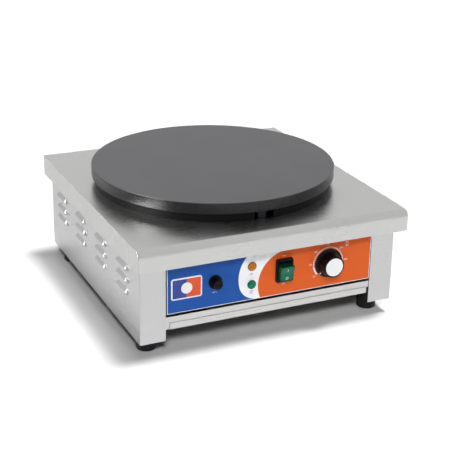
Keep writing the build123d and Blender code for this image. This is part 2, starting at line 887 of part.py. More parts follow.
with BuildPart() as stud_nuts:
    seats = [
        (*polar(support_circle_radius, angle), cover_under - washer_thickness - stud_nut_height)
        for angle in support_angles.values()
    ]
    for seat in [*seats, (0, plate_setback, clamp_bottom - stud_nut_height)]:
        add(hex_nut(Plane(seat), stud_nut_flats, stud_nut_height, stud_radius + thread_clearance))
stud_nuts.part.label = "stud_nuts"
export_step(stud_nuts.part, "parts/stud_nuts.step")

with BuildPart() as plate_collar:
    with BuildSketch(level(cover_z)):
        Circle(collar_radius)
        Circle(collar_radius - collar_sheet, mode=Mode.SUBTRACT)
        with PolarLocations(collar_radius, 3, start_angle=support_angles["front"]):
            Rectangle(collar_notch_reach, collar_notch, mode=Mode.SUBTRACT)
    extrude(amount=plate_gap - collar_gap)
plate_collar.part.label = "plate_collar"
export_step(plate_collar.part, "parts/plate_collar.step")

# ------------------------------------------------------------------ heater pack

with BuildPart() as heater_tray:
    with BuildSketch(Plane((0, plate_setback, 0), x_dir=(1, 0, 0), z_dir=(0, -1, 0))):
        with BuildLine():
            Polyline(
                (0, tray_bottom), (tray_radius, tray_bottom), (tray_radius, cover_z),
                (tray_flange_radius, cover_z), (tray_flange_radius, cover_z + tray_sheet),
                (tray_radius - tray_sheet, cover_z + tray_sheet),
                (tray_radius - tray_sheet, blanket_bottom), (0, blanket_bottom), close=True,
            )
        make_face()
    revolve(axis=plate_axis)
    extrude(lead_holes(tray_bottom), amount=tray_sheet, mode=Mode.SUBTRACT)
    with BuildSketch(level(cover_z)):
        with PolarLocations(rivet_circle_radius, rivet_count, rivet_angle):
            Circle(rivet_radius + bolt_clearance)
    extrude(amount=tray_sheet, mode=Mode.SUBTRACT)
heater_tray.part.label = "heater_tray"
export_step(heater_tray.part, "parts/heater_tray.step")

with BuildPart() as tray_rivets:
    for foot_z, radius, length in (
        (cover_under - rivet_head_height, rivet_head, rivet_head_height),
        (cover_under, rivet_radius, sheet + tray_sheet),
        (cover_z + tray_sheet, rivet_head, rivet_head_height),
    ):
        with BuildSketch(level(foot_z)):
            with PolarLocations(rivet_circle_radius, rivet_count, rivet_angle):
                Circle(radius)
        extrude(amount=length)
tray_rivets.part.label = "tray_rivets"
export_step(tray_rivets.part, "parts/tray_rivets.step")

with BuildPart() as insulation_blanket:
    with BuildSketch(level(blanket_bottom)):
        Circle(tray_radius - tray_sheet - blanket_clearance)
    extrude(amount=blanket_thickness)
    extrude(lead_holes(blanket_bottom), amount=blanket_thickness, mode=Mode.SUBTRACT)
insulation_blanket.part.label = "insulation_blanket"
export_step(insulation_blanket.part, "parts/insulation_blanket.step")

with BuildPart() as reflector:
    with BuildSketch(level(blanket_top)):
        Circle(tray_radius - tray_sheet - blanket_clearance)
    extrude(amount=reflector_lip)
    with BuildSketch(level(blanket_top + reflector_sheet)):
        Circle(tray_radius - tray_sheet - blanket_clearance - reflector_sheet)
    extrude(amount=reflector_lip, mode=Mode.SUBTRACT)
    extrude(lead_holes(blanket_top), amount=reflector_sheet, mode=Mode.SUBTRACT)
reflector.part.label = "reflector"
export_step(reflector.part, "parts/reflector.step")


def bend_arc(start, along, turn):
    """Quarter bend from a horizontal run down into a leg."""
    down = Vector(0, 0, -element_bend)
    middle = start + down + (along * element_bend - down) * sin(radians(turn / 2))
    return ThreePointArc(start, middle, start + along * element_bend + down)


def heating_element(ring, gap):
    """Tubular element: an open ring whose two ends turn down, with their cold pins."""
    first, towards, last, back = element_points(ring, gap)
    front = Vector(*polar(ring, -90), element_z)
    with BuildPart() as element:
        with BuildLine() as route:
            first_bend = bend_arc(first, towards, 90)
            last_bend = bend_arc(last, back, 90)
            ThreePointArc(first, Vector(*polar(ring, 180), element_z), front)
            ThreePointArc(front, Vector(*polar(ring, 0), element_z), last)
            for bend in (first_bend, last_bend):
                foot_point = bend @ 1
                Line(foot_point, (foot_point.X, foot_point.Y, element_leg_end))
        path = route.wire()
        with BuildSketch(Plane(path @ 0, z_dir=path % 0)):
            Circle(element_diameter / 2)
        sweep(path=path)
        with BuildSketch(Plane.XY.offset(element_leg_end - pin_length)):
            with Locations(*leg_places(ring, gap)):
                Circle(pin_radius)
        extrude(amount=pin_length)
    return element.part


with BuildPart() as outer_element:
    add(heating_element(outer_ring, outer_gap))
outer_element.part.label = "outer_element"
export_step(outer_element.part, "parts/outer_element.step")

with BuildPart() as inner_element:
    add(heating_element(inner_ring, inner_gap))
inner_element.part.label = "inner_element"
export_step(inner_element.part, "parts/inner_element.step")

link_z = element_leg_end - pin_length / 2

with BuildPart() as element_links:
    for outer_leg, inner_leg in zip(outer_legs, inner_legs):
        with BuildSketch(Plane.XY.offset(link_z)):
            SlotCenterPoint(
                ((outer_leg[0] + inner_leg[0]) / 2, (outer_leg[1] + inner_leg[1]) / 2),
                outer_leg, link_width,
            )
            with Locations(outer_leg, inner_leg):
                Circle(pin_radius + thread_clearance, mode=Mode.SUBTRACT)
        extrude(amount=link_sheet)
element_links.part.label = "element_links"
export_step(element_links.part, "parts/element_links.step")

with BuildPart() as element_clamp:
    with BuildSketch(level(clamp_bottom)):
        for angle in support_angles.values():
            with Locations(Rotation(0, 0, angle)):
                Rectangle(
                    outer_ring + clamp_overhang, clamp_arm_width,
                    align=(Align.MIN, Align.CENTER),
                )
        Circle(clamp_arm_width)
        Circle(stud_radius + bolt_clearance, mode=Mode.SUBTRACT)
    extrude(amount=clamp_sheet)
element_clamp.part.label = "element_clamp"
export_step(element_clamp.part, "parts/element_clamp.step")

with BuildPart() as clamp_stud:
    with BuildSketch(level(clamp_bottom - clamp_stud_tail)):
        Circle(stud_radius)
    extrude(amount=clamp_stud_tail + web_bottom - clamp_bottom + stud_grip - thread_clearance)
clamp_stud.part.label = "clamp_stud"
export_step(clamp_stud.part, "parts/clamp_stud.step")

# ------------------------------------------------------------------ thermostat and knob

thermostat_back = panel_back + thermostat_depth
thermostat_tabs = [
    (knob_x - thermostat_tab_spread, knob_z + tab_rise),
    (knob_x + thermostat_tab_spread, knob_z + tab_rise),
]


def tab_group(places, back):
    """Flat push-on tabs that stand out of the back of a fitting."""
    with BuildPart() as tabs:
        with BuildSketch(facing(back)):
            with Locations(*places):
                Rectangle(tab_sheet, tab_width)
        extrude(amount=-tab_length)
    return tabs.part


with BuildPart() as thermostat:
    with BuildSketch(facing(panel_back)):
        with Locations((knob_x, knob_z)):
            RectangleRounded(thermostat_size, thermostat_size, thermostat_corner)
    extrude(amount=-thermostat_depth)
    with BuildSketch(facing(panel_back)):
        with Locations((knob_x, knob_z)):
            Circle(shaft_radius + running_clearance)
            with GridLocations(thermostat_screw_spacing, 1, 2, 1):
                Circle(screw_radius + thread_clearance)
    extrude(amount=-shaft_bore_depth, mode=Mode.SUBTRACT)
    add(tab_group(thermostat_tabs, thermostat_back))
thermostat.part.label = "thermostat"
export_step(thermostat.part, "parts/thermostat.step")

with BuildPart() as thermostat_screws:
    with BuildSketch(facing(front_y)):
        with Locations((knob_x, knob_z)):
            with GridLocations(thermostat_screw_spacing, 1, 2, 1):
                Circle(screw_head_radius)
    extrude(amount=screw_head_height)
    with BuildSketch(facing(front_y)):
        with Locations((knob_x, knob_z)):
            with GridLocations(thermostat_screw_spacing, 1, 2, 1):
                Circle(screw_radius)
    extrude(amount=-screw_grip)
thermostat_screws.part.label = "thermostat_screws"
export_step(thermostat_screws.part, "parts/thermostat_screws.step")


def flatted_shaft(radius, flat):
    """Section of a shaft with one flat, or of the bore that fits it."""
    with BuildSketch(facing(front_y)) as section:
        with Locations((knob_x, knob_z)):
            Circle(radius)
            with Locations((0, flat + radius)):
                Rectangle(2 * radius, 2 * radius, mode=Mode.SUBTRACT)
    return section.sketch


with BuildPart() as thermostat_shaft:
    with BuildSketch(facing(panel_back + shaft_bore_depth - shaft_end_gap)):
        with Locations((knob_x, knob_z)):
            Circle(shaft_radius)
    extrude(amount=panel_back + shaft_bore_depth - shaft_end_gap - front_y)
    extrude(flatted_shaft(shaft_radius, shaft_flat), amount=knob_bore_depth - shaft_end_gap)
thermostat_shaft.part.label = "thermostat_shaft"
export_step(thermostat_shaft.part, "parts/thermostat_shaft.step")

with BuildPart() as knob:
    with BuildSketch(turning(knob_x, knob_z)):
        with BuildLine():
            Polyline(
                (knob_standoff, 0), (knob_standoff, knob_hub_radius),
                (knob_hollow_depth, knob_hub_radius), (knob_hollow_depth, knob_hollow_radius),
                (knob_standoff, knob_hollow_radius), (knob_standoff, knob_skirt_radius),
                (knob_standoff + knob_skirt, knob_skirt_radius),
                (knob_standoff + knob_skirt + knob_rounding, knob_base_radius),
                (knob_reach, knob_front_radius),
                (knob_reach, knob_cap_radius + thread_clearance),
                (knob_reach - knob_cap_thickness, knob_cap_radius + thread_clearance),
                (knob_reach - knob_cap_thickness, 0), close=True,
            )
        make_face()
    revolve(axis=reach_axis(knob_x, knob_z))
    front_rim = knob.edges().filter_by(GeomType.CIRCLE).group_by(Axis.Y)[0]
    fillet(front_rim.sort_by(SortBy.RADIUS)[-1], knob_rounding)
    bore = flatted_shaft(shaft_radius + thread_clearance, shaft_flat + thread_clearance)
    extrude(bore, amount=knob_bore_depth, mode=Mode.SUBTRACT)
knob.part.label = "knob"
export_step(knob.part, "parts/knob.step")

with BuildPart() as knob_cap:
    with BuildSketch(facing(front_y - knob_reach + knob_cap_thickness)):
        with Locations((knob_x, knob_z)):
            Circle(knob_cap_radius)
    extrude(amount=knob_cap_thickness)
    chamfer(knob_cap.faces().sort_by(Axis.Y)[0].edges(), knob_cap_chamfer)
knob_cap.part.label = "knob_cap"
export_step(knob_cap.part, "parts/knob_cap.step")

# ------------------------------------------------------------------ rocker switch

pivot_y = front_y + rocker_pivot_depth
well_bottom = front_y + well_depth
switch_back = front_y + switch_body_depth
mains_tabs = [(switch_x + side * switch_tab_spread, switch_z + tab_rise) for side in (-1, 1)]
load_tabs = [(switch_x + side * switch_tab_spread, switch_z - tab_rise) for side in (-1, 1)]
trunnion_span = rocker_width + 2 * (rocker_side_gap + trunnion_reach)

with BuildPart() as switch_body:
    with BuildSketch(facing(front_y)):
        with Locations((switch_x, switch_z)):
            RectangleRounded(bezel_width, bezel_height, bezel_corner)
    extrude(amount=bezel_thickness)
    fillet(switch_body.faces().sort_by(Axis.Y)[0].edges(), bezel_rounding)
    with BuildSketch(facing(front_y)):
        with Locations((switch_x, switch_z)):
            Rectangle(switch_body_width, switch_body_height)
    extrude(amount=-switch_body_depth)
    with BuildSketch(facing(well_bottom)):
        with Locations((switch_x, rocker_z)):
            Rectangle(rocker_width + 2 * rocker_side_gap, 2 * well_half_height)
    extrude(amount=well_depth + bezel_thickness, mode=Mode.SUBTRACT)
    with BuildSketch(Plane((switch_x, pivot_y, rocker_z), z_dir=(1, 0, 0))):
        Circle(trunnion_radius + running_clearance)
    extrude(
        amount=trunnion_span / 2 + running_clearance, both=True, mode=Mode.SUBTRACT
    )
    add(tab_group(mains_tabs + load_tabs, switch_back))
switch_body.part.label = "switch_body"
export_step(switch_body.part, "parts/switch_body.step")

# The rocker rests with its lower end pressed in, so its section is drawn tilted.
tilt = radians(rocker_throw)
rocker_plane = Plane(
    (switch_x, pivot_y, rocker_z),
    x_dir=(0, -cos(tilt), -sin(tilt)),
    z_dir=(1, 0, 0),
)
rocker_tip = rocker_reach + rocker_pivot_depth

with BuildPart() as switch_rocker:
    with BuildSketch(rocker_plane):
        with BuildLine():
            Polyline(
                (-rocker_back, rocker_half_back), (0, rocker_half_pivot),
                (rocker_tip, rocker_half_front), (rocker_tip - rocker_dish, 0),
                (rocker_tip, -rocker_half_front), (0, -rocker_half_pivot),
                (-rocker_back, -rocker_half_back), close=True,
            )
        make_face()
    extrude(amount=rocker_width / 2, both=True)
    front_edges = switch_rocker.edges().filter_by(
        lambda edge: edge.center().Y < pivot_y - rocker_tip / 2
        and abs(abs(edge.center().X - switch_x) - rocker_width / 2) < pick
    )
    fillet(front_edges.filter_by(lambda edge: edge.length > rocker_tip), rocker_rounding)
    with BuildSketch(Plane((switch_x, pivot_y, rocker_z), z_dir=(1, 0, 0))):
        Circle(trunnion_radius)
    extrude(amount=trunnion_span / 2, both=True)
switch_rocker.part.label = "switch_rocker"
export_step(switch_rocker.part, "parts/switch_rocker.step")

# ------------------------------------------------------------------ pilot lamps

for colour, raise_z in lamp_raise.items():
    lamp_z = body_z + raise_z
    with BuildPart() as lens:
        with BuildSketch(turning(lamp_x, lamp_z)):
            Rectangle(lens_reach, lens_radius, align=Align.MIN)
            with Locations((lens_reach - lens_dome, 0)):
                Circle(lens_dome, mode=Mode.INTERSECT)
            Rectangle(lens_flange, lens_flange_radius, align=Align.MIN)
        revolve(axis=reach_axis(lamp_x, lamp_z))
    lens.part.label = f"lamp_lens_{colour}"
    export_step(lens.part, f"parts/lamp_lens_{colour}.step")
    with BuildPart() as lamp_body:
        with BuildSketch(facing(front_y)):
            with Locations((lamp_x, lamp_z)):
                Circle(lamp_body_radius)
        extrude(amount=-lamp_body_depth)
        add(
            tab_group(
                [(lamp_x - tab_width / 2, lamp_z), (lamp_x + tab_width / 2, lamp_z)],
                front_y + lamp_body_depth,
            )
        )
    lamp_body.part.label = f"lamp_body_{colour}"
    export_step(lamp_body.part, f"parts/lamp_body_{colour}.step")

with BuildPart() as lamp_nuts:
    for raise_z in lamp_raise.values():
        nut_plane = Plane((lamp_x, panel_back, body_z + raise_z), z_dir=(0, 1, 0))
        add(
            hex_nut(
                nut_plane, lamp_nut_flats, lamp_nut_height, lamp_body_radius + thread_clearance
            )
        )
lamp_nuts.part.label = "lamp_nuts"
export_step(lamp_nuts.part, "parts/lamp_nuts.step")

# ------------------------------------------------------------------ fuse holder

fuse_axis = reach_axis(fuse_x, fuse_z)

with BuildPart() as fuse_holder:
    with BuildSketch(turning(fuse_x, fuse_z)):
        with BuildLine():
            Polyline(
                (fuse_flange, carrier_radius + carrier_clearance),
                (fuse_flange, fuse_flange_radius), (0, fuse_flange_radius),
                (0, fuse_barrel_radius), (-fuse_barrel_depth, fuse_barrel_radius),
                (-fuse_barrel_depth, 0), (-carrier_depth - cartridge_inset, 0),
                (-carrier_depth - cartridge_inset, carrier_radius + carrier_clearance),
                close=True,
            )
        make_face()
    revolve(axis=fuse_axis)
    holder_rim = fuse_holder.edges().filter_by(GeomType.CIRCLE).group_by(Axis.Y)[0]
    fillet(holder_rim.sort_by(SortBy.RADIUS)[-1], fuse_flange_rounding)
    add(tab_group([(fuse_x, fuse_z)], front_y + fuse_barrel_depth))
fuse_holder.part.label = "fuse_holder"
export_step(fuse_holder.part, "parts/fuse_holder.step")

with BuildPart() as fuse_holder_nut:
    add(
        hex_nut(
            Plane((fuse_x, panel_back, fuse_z), z_dir=(0, 1, 0)), fuse_nut_flats,
            fuse_nut_height, fuse_barrel_radius + thread_clearance,
        )
    )
fuse_holder_nut.part.label = "fuse_holder_nut"
export_step(fuse_holder_nut.part, "parts/fuse_holder_nut.step")

with BuildPart() as fuse_carrier:
    with BuildSketch(turning(fuse_x, fuse_z)):
        with BuildLine():
            Polyline(
                (carrier_neck, 0), (carrier_neck, carrier_neck_radius),
                (carrier_front, carrier_neck_radius), (carrier_front, carrier_radius),
                (-carrier_depth, carrier_radius), (-carrier_depth, carrier_bore),
                (cartridge_length - carrier_depth + 2 * cartridge_inset, carrier_bore),
                (cartridge_length - carrier_depth + 2 * cartridge_inset, 0), close=True,
            )
        make_face()
    revolve(axis=fuse_axis)
fuse_carrier.part.label = "fuse_carrier"
export_step(fuse_carrier.part, "parts/fuse_carrier.step")

cartridge_back = front_y + carrier_depth - cartridge_inset

with BuildPart() as fuse_cartridge:
    for start, radius, length in (
        (0, cartridge_radius, cartridge_end),
        (cartridge_end, cartridge_glass_radius, cartridge_length - 2 * cartridge_end),
        (cartridge_length - cartridge_end, cartridge_radius, cartridge_end),
    ):
        with BuildSketch(facing(cartridge_back - start)):
            with Locations((fuse_x, fuse_z)):
                Circle(radius)
        extrude(amount=length)
fuse_cartridge.part.label = "fuse_cartridge"
export_step(fuse_cartridge.part, "parts/fuse_cartridge.step")

fuse_cap_back = fuse_flange + fuse_cap_gap

with BuildPart() as fuse_cap:
    with BuildSketch(turning(fuse_x, fuse_z)):
        with BuildLine():
            Polyline(
                (fuse_cap_back, carrier_neck_radius + running_clearance),
                (fuse_cap_back, fuse_cap_back_radius),
                (fuse_cap_reach, fuse_cap_front_radius), (fuse_cap_reach, 0),
                (fuse_cap_bore_depth, 0),
                (fuse_cap_bore_depth, carrier_neck_radius + running_clearance), close=True,
            )
        make_face()
    revolve(axis=fuse_axis)
    cap_rim = fuse_cap.edges().filter_by(GeomType.CIRCLE).group_by(Axis.Y)[0]
    fillet(cap_rim, fuse_cap_rounding)
    with BuildSketch(facing(front_y - fuse_cap_reach)):
        with Locations((fuse_x, fuse_z)):
            SlotOverall(fuse_slot_length, fuse_slot_width)
    extrude(amount=-fuse_slot_depth, mode=Mode.SUBTRACT)
fuse_cap.part.label = "fuse_cap"
export_step(fuse_cap.part, "parts/fuse_cap.step")

# ------------------------------------------------------------------ cable gland

with BuildPart() as cable_gland:
    with BuildSketch(Plane((gland_x, rear_panel_y, gland_height), z_dir=(0, 1, 0))):
        RegularPolygon(gland_flats / 2, 6, major_radius=False)
    extrude(amount=gland_flange)
    with BuildSketch(
        Plane((gland_x, rear_panel_y - sheet - gland_tail, gland_height), z_dir=(0, 1, 0))
    ):
        Circle(gland_thread_radius)
    extrude(amount=sheet + gland_tail)
    with BuildSketch(
        Plane((gland_x, rear_panel_y + gland_flange, gland_height), z_dir=(0, 1, 0))
    ):
        Circle(gland_dome_radius)
    extrude(amount=gland_dome - gland_flange)
    dome_edge = cable_gland.edges().filter_by(GeomType.CIRCLE).group_by(Axis.Y)[-1]
    fillet(dome_edge, gland_dome_rounding)
    with BuildSketch(
        Plane((gland_x, rear_panel_y - sheet - gland_tail, gland_height), z_dir=(0, 1, 0))
    ):
        Circle(gland_bore)
    extrude(amount=sheet + gland_tail + gland_dome, mode=Mode.SUBTRACT)
cable_gland.part.label = "cable_gland"
export_step(cable_gland.part, "parts/cable_gland.step")

with BuildPart() as gland_nut:
    add(
        hex_nut(
            Plane((gland_x, rear_panel_y - sheet, gland_height), z_dir=(0, -1, 0)),
            gland_nut_flats, gland_nut_height, gland_thread_radius + thread_clearance,
        )
    )
gland_nut.part.label = "gland_nut"
export_step(gland_nut.part, "parts/gland_nut.step")

# ------------------------------------------------------------------ fittings on the pan

block_front = block_y - block_depth / 2
block_poles = [block_x + pole * block_pitch for pole in (-1, 0, 1)]
block_port_z = pan_floor + block_height / 2

with BuildPart() as terminal_block:
    with BuildSketch(Plane((block_x, block_y, pan_floor))):
        Rectangle(block_width, block_depth)
    extrude(amount=block_height)
    chamfer(terminal_block.faces().sort_by(Axis.Z)[-1].edges().filter_by(Axis.X), block_chamfer)
    with BuildSketch(Plane((block_x, block_y, pan_floor + block_height))):
        with GridLocations(block_pitch, 1, 3, 1):
            Circle(block_screw_well)
    extrude(amount=-block_screw_depth, mode=Mode.SUBTRACT)
terminal_block.part.label = "terminal_block"
export_step(terminal_block.part, "parts/terminal_block.step")

limiter_tab_z = pan_floor + limiter_height / 2
limiter_tabs = [(limiter_x + side * limiter_tab_spread, limiter_tab_z) for side in (-1, 1)]

with BuildPart() as overheat_limiter:
    with BuildSketch(Plane((limiter_x, limiter_y, pan_floor))):
        Rectangle(limiter_width, limiter_depth)
    extrude(amount=limiter_height)
    fillet(overheat_limiter.edges().filter_by(Axis.Z), limiter_corner)
    add(tab_group(limiter_tabs, limiter_y + limiter_depth / 2))
overheat_limiter.part.label = "overheat_limiter"
export_step(overheat_limiter.part, "parts/overheat_limiter.step")

with BuildPart() as earth_stud:
    with BuildSketch(Plane((earth_x, earth_y, pan_z - sheet))):
        Circle(earth_head_radius)
    extrude(amount=sheet)
    with BuildSketch(Plane((earth_x, earth_y, pan_z))):
        Circle(earth_stud_radius)
    extrude(amount=earth_stud_height)
earth_stud.part.label = "earth_stud"
export_step(earth_stud.part, "parts/earth_stud.step")

with BuildPart() as earth_nut:
    add(
        hex_nut(
            Plane((earth_x, earth_y, pan_floor)), earth_nut_flats, earth_nut_height,
            earth_stud_radius + thread_clearance,
        )
    )
earth_nut.part.label = "earth_nut"
export_step(earth_nut.part, "parts/earth_nut.step")

# ------------------------------------------------------------------ sensing bulbs


def sensing_line(bulb_span, row_y, turn_x, points):
    """Liquid-filled bulb under the plate with its capillary down to a control."""
    side = 1 if turn_x > 0 else -1
    with BuildPart() as line:
        with BuildSketch(Plane((0, row_y, bulb_z), z_dir=(1, 0, 0))):
            Circle(bulb_radius)
        extrude(amount=bulb_span / 2, both=True)
        add(
            round_run(
                [(side * bulb_span / 2, row_y, bulb_z), (turn_x, row_y, bulb_z), *points],
                capillary_radius, capillary_bend,
            )
        )
    return line.part


capillary_z = knob_z - capillary_offset
capillary_x = knob_x + capillary_offset

with BuildPart() as thermostat_bulb:
    add(
        sensing_line(
            bulb_length, bulb_y, bulb_turn,
            [
                (bulb_turn, bulb_y, capillary_z),
                (capillary_x, bulb_y - capillary_setback, capillary_z),
                (capillary_x, thermostat_back + wire_gap, capillary_z),
            ],
        )
    )
thermostat_bulb.part.label = "thermostat_bulb"
export_step(thermostat_bulb.part, "parts/thermostat_bulb.step")

limiter_top = pan_floor + limiter_height

with BuildPart() as limiter_bulb:
    add(
        sensing_line(
            limit_bulb_length, limit_bulb_y, -limit_bulb_turn,
            [
                (-limit_bulb_turn, limit_bulb_y, limiter_top + limiter_capillary_rise),
                (limiter_x, limiter_y, limiter_top + limiter_capillary_rise),
                (limiter_x, limiter_y, limiter_top + wire_gap),
            ],
        )
    )
limiter_bulb.part.label = "limiter_bulb"
export_step(limiter_bulb.part, "parts/limiter_bulb.step")

# ------------------------------------------------------------------ wiring

wire_end = tab_length + wire_gap
lamp_back = front_y + lamp_body_depth
fuse_back = front_y + fuse_barrel_depth
limiter_back = limiter_y + limiter_depth / 2
pin_foot_z = element_leg_end - pin_length - wire_gap
lamp_tab = lamp_x + tab_width / 2
amber_z = body_z + lamp_raise["amber"]
green_z = body_z + lamp_raise["green"]
riser_y = switch_back + wire_end + mains_riser
block_wire_y = block_front - wire_gap


def wire(*points):
    """Insulated wire along straight runs with rounded bends."""
    return round_run(points, wire_radius, wire_bend)


with BuildPart() as mains_wires:
    for pole, (tab_x, tab_z) in zip(block_poles, mains_tabs):
        add(
            wire(
                (pole, block_wire_y, block_port_z),
                (pole, block_wire_y - wire_exit - (pole - block_poles[0]), block_port_z),
                (tab_x, riser_y, block_port_z),
                (tab_x, riser_y, tab_z),
                (tab_x, switch_back + wire_end, tab_z),
            )
        )
    add(
        wire(
            (block_poles[2], block_wire_y, block_port_z),
            (block_poles[2], earth_y, block_port_z),
            (earth_x - earth_stud_radius - wire_gap, earth_y, block_port_z),
        )
    )
mains_wires.part.label = "mains_wires"
export_step(mains_wires.part, "parts/mains_wires.step")

control_routes = [
    # switch to thermostat
    [
        (*load_tabs[1], switch_back + wire_end),
        (*load_tabs[1], switch_back + wire_end + wire_exit),
        (*thermostat_tabs[0], thermostat_back + wire_end + wire_exit),
        (*thermostat_tabs[0], thermostat_back + wire_end),
    ],
    # thermostat to heater
    [
        (*thermostat_tabs[1], thermostat_back + wire_end),
        (*thermostat_tabs[1], thermostat_back + wire_end + wire_exit),
        (thermostat_tabs[1][0], heater_wire_z, 0),
        (outer_legs[1][0], heater_wire_z, outer_legs[1][1]),
        (outer_legs[1][0], pin_foot_z, outer_legs[1][1]),
    ],
    # switch to limiter
    [
        (*load_tabs[0], switch_back + wire_end),
        (*load_tabs[0], switch_back + wire_end + wire_exit),
        (load_tabs[0][0] - wire_exit, limiter_tab_z, limiter_back + wire_end + wire_exit),
        (limiter_tabs[1][0], limiter_tab_z, limiter_back + wire_end + wire_exit),
        (*limiter_tabs[1], limiter_back + wire_end),
    ],
    # limiter to heater
    [
        (*limiter_tabs[0], limiter_back + wire_end),
        (*limiter_tabs[0], limiter_back + wire_end + 2 * wire_exit),
        (outer_legs[0][0], heater_wire_z, outer_legs[0][1]),
        (outer_legs[0][0], pin_foot_z, outer_legs[0][1]),
    ],
    # fuse to the green lamp
    [
        (fuse_x, fuse_z, fuse_back + wire_end),
        (fuse_x, fuse_z, fuse_back + wire_end + wire_exit),
        (lamp_x - tab_width / 2, green_z, lamp_back + wire_end + wire_exit),
        (lamp_x - tab_width / 2, green_z, lamp_back + wire_end),
    ],
    # between the lamps
    [
        (lamp_tab, amber_z, lamp_back + wire_end),
        (lamp_tab, amber_z, lamp_back + wire_end + wire_exit),
        (lamp_tab, green_z, lamp_back + wire_end + wire_exit),
        (lamp_tab, green_z, lamp_back + wire_end),
    ],
]

with BuildPart() as control_wires:
    for route_points in control_routes:
        add(wire(*[(x, y, z) for x, z, y in route_points]))
control_wires.part.label = "control_wires"
export_step(control_wires.part, "parts/control_wires.step")
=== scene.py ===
# %% [markdown]
# # An electric crepe maker
#
# A crepe maker is a round cast-iron griddle on a folded stainless-steel box. Its shape is
# already made, piece by piece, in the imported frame. This lesson gives every piece its
# finish, prints the control panel, and sets the light and the camera.
#
# Everything is in metres, and the frame's origin is on the table, under the middle of the
# square top cover: X runs to the right, Y to the back, Z up.

# %% Load the frame
import json
from math import atan, cos, degrees, radians, sin

import bmesh
import bpy
from mathutils import Matrix, Vector


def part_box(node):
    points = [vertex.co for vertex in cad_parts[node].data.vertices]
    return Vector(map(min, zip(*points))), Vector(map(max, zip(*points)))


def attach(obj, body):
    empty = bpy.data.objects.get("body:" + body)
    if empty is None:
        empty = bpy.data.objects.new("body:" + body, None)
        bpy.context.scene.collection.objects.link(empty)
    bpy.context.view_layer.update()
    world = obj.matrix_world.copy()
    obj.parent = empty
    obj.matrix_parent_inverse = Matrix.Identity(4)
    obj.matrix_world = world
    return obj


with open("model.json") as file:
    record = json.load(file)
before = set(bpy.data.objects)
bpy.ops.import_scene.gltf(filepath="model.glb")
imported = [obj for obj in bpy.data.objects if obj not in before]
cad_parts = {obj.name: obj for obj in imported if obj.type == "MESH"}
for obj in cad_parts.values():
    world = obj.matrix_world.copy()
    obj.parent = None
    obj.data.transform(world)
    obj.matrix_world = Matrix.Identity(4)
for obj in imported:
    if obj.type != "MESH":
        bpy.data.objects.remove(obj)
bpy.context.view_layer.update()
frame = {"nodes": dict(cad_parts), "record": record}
nodes = frame["nodes"]
MM = 0.001
print("pieces in the frame:", len(nodes))

# %% [markdown]
# ## The camera
#
# Products are pictured from far off with a long lens, so that parallel edges stay nearly
# parallel. The camera here stands two metres away, to the left of the front and about 22
# degrees up. Its place is worked out from two angles and a distance, and then it is turned
# about its own axis by the small roll that a hand-held level leaves.

# %% Camera
FRAME_PIXELS = 452
SENSOR_WIDTH = 36.0
FOCAL_PIXELS = 1189.8
AIM = Vector((0.0310, 0.0242, 0.0895))
AZIMUTH = radians(-24.75)
ELEVATION = radians(21.92)
ROLL = radians(0.964)
DISTANCE = 2.0357

backward = Vector(
    (sin(AZIMUTH) * cos(ELEVATION), -cos(AZIMUTH) * cos(ELEVATION), sin(ELEVATION))
)
level_right = (-backward).cross(Vector((0, 0, 1))).normalized()
level_up = level_right.cross(-backward)
right = level_right * cos(ROLL) + level_up * sin(ROLL)
up = level_up * cos(ROLL) - level_right * sin(ROLL)

camera_data = bpy.data.cameras.new("camera")
camera_data.sensor_width = SENSOR_WIDTH
camera_data.lens = FOCAL_PIXELS / FRAME_PIXELS * SENSOR_WIDTH
camera = bpy.data.objects.new("camera", camera_data)
bpy.context.scene.collection.objects.link(camera)
turned = Matrix((right, up, backward)).transposed().to_4x4()
camera.matrix_world = Matrix.Translation(AIM + backward * DISTANCE) @ turned
bpy.context.scene.camera = camera
print("lens", round(camera_data.lens, 1), "mm, half angle",
      round(degrees(atan(SENSOR_WIDTH / 2 / camera_data.lens)), 2), "degrees")

# %% [markdown]
# ## Two small helpers for shaders
#
# Designers write colours as sRGB hex codes, but a shader works with linear light, so one
# function turns the first into the second. Another adds a shader node and joins it up. Its
# inputs are given by name or number, and each is either a plain value or another node's
# output.

# %% Helpers for colours and nodes
def linear(hex_code):
    """An sRGB hex code such as "#C8C8C8" as linear red, green, blue and alpha."""
    channels = [int(hex_code[i:i + 2], 16) / 255 for i in (1, 3, 5)]
    return (*[c / 12.92 if c <= 0.04045 else ((c + 0.055) / 1.055) ** 2.4 for c in channels], 1)


def add_node(tree, kind, inputs=None, **settings):
    """Adds a node of that kind; inputs maps a socket to a value or to another output."""
    made = tree.nodes.new(kind)
    for name, value in settings.items():
        setattr(made, name, value)
    for socket, source in (inputs or {}).items():
        if isinstance(source, bpy.types.NodeSocket):
            tree.links.new(source, made.inputs[socket])
        else:
            made.inputs[socket].default_value = source
    return made


def new_finish(name, **values):
    """A material whose Principled shader has these values; spaces are written as _."""
    made = bpy.data.materials.new(name)
    made.use_nodes = True
    shader = made.node_tree.nodes["Principled BSDF"]
    for socket, value in values.items():
        shader.inputs[socket.replace("_", " ")].default_value = value
    return made, made.node_tree, shader


# A noise texture seldom leaves this range, so this is what gets stretched to another one.
NOISE_RANGE = {"From Min": 0.3, "From Max": 0.7}
print("steel grey #C8C8C8 in linear light:", [round(c, 3) for c in linear("#C8C8C8")[:3]])

# %% [markdown]
# ## Floor, backdrop and room
#
# The studio is white. The floor is a matt board, wide enough that its far edge is never
# seen, and it catches the shadow. It lies a hair below the feet, so that no two faces
# coincide. The room is painted white too, and that is what the camera and the metal see.
# But it lights the object only weakly, because in a studio nearly all the light comes from
# the lamps.

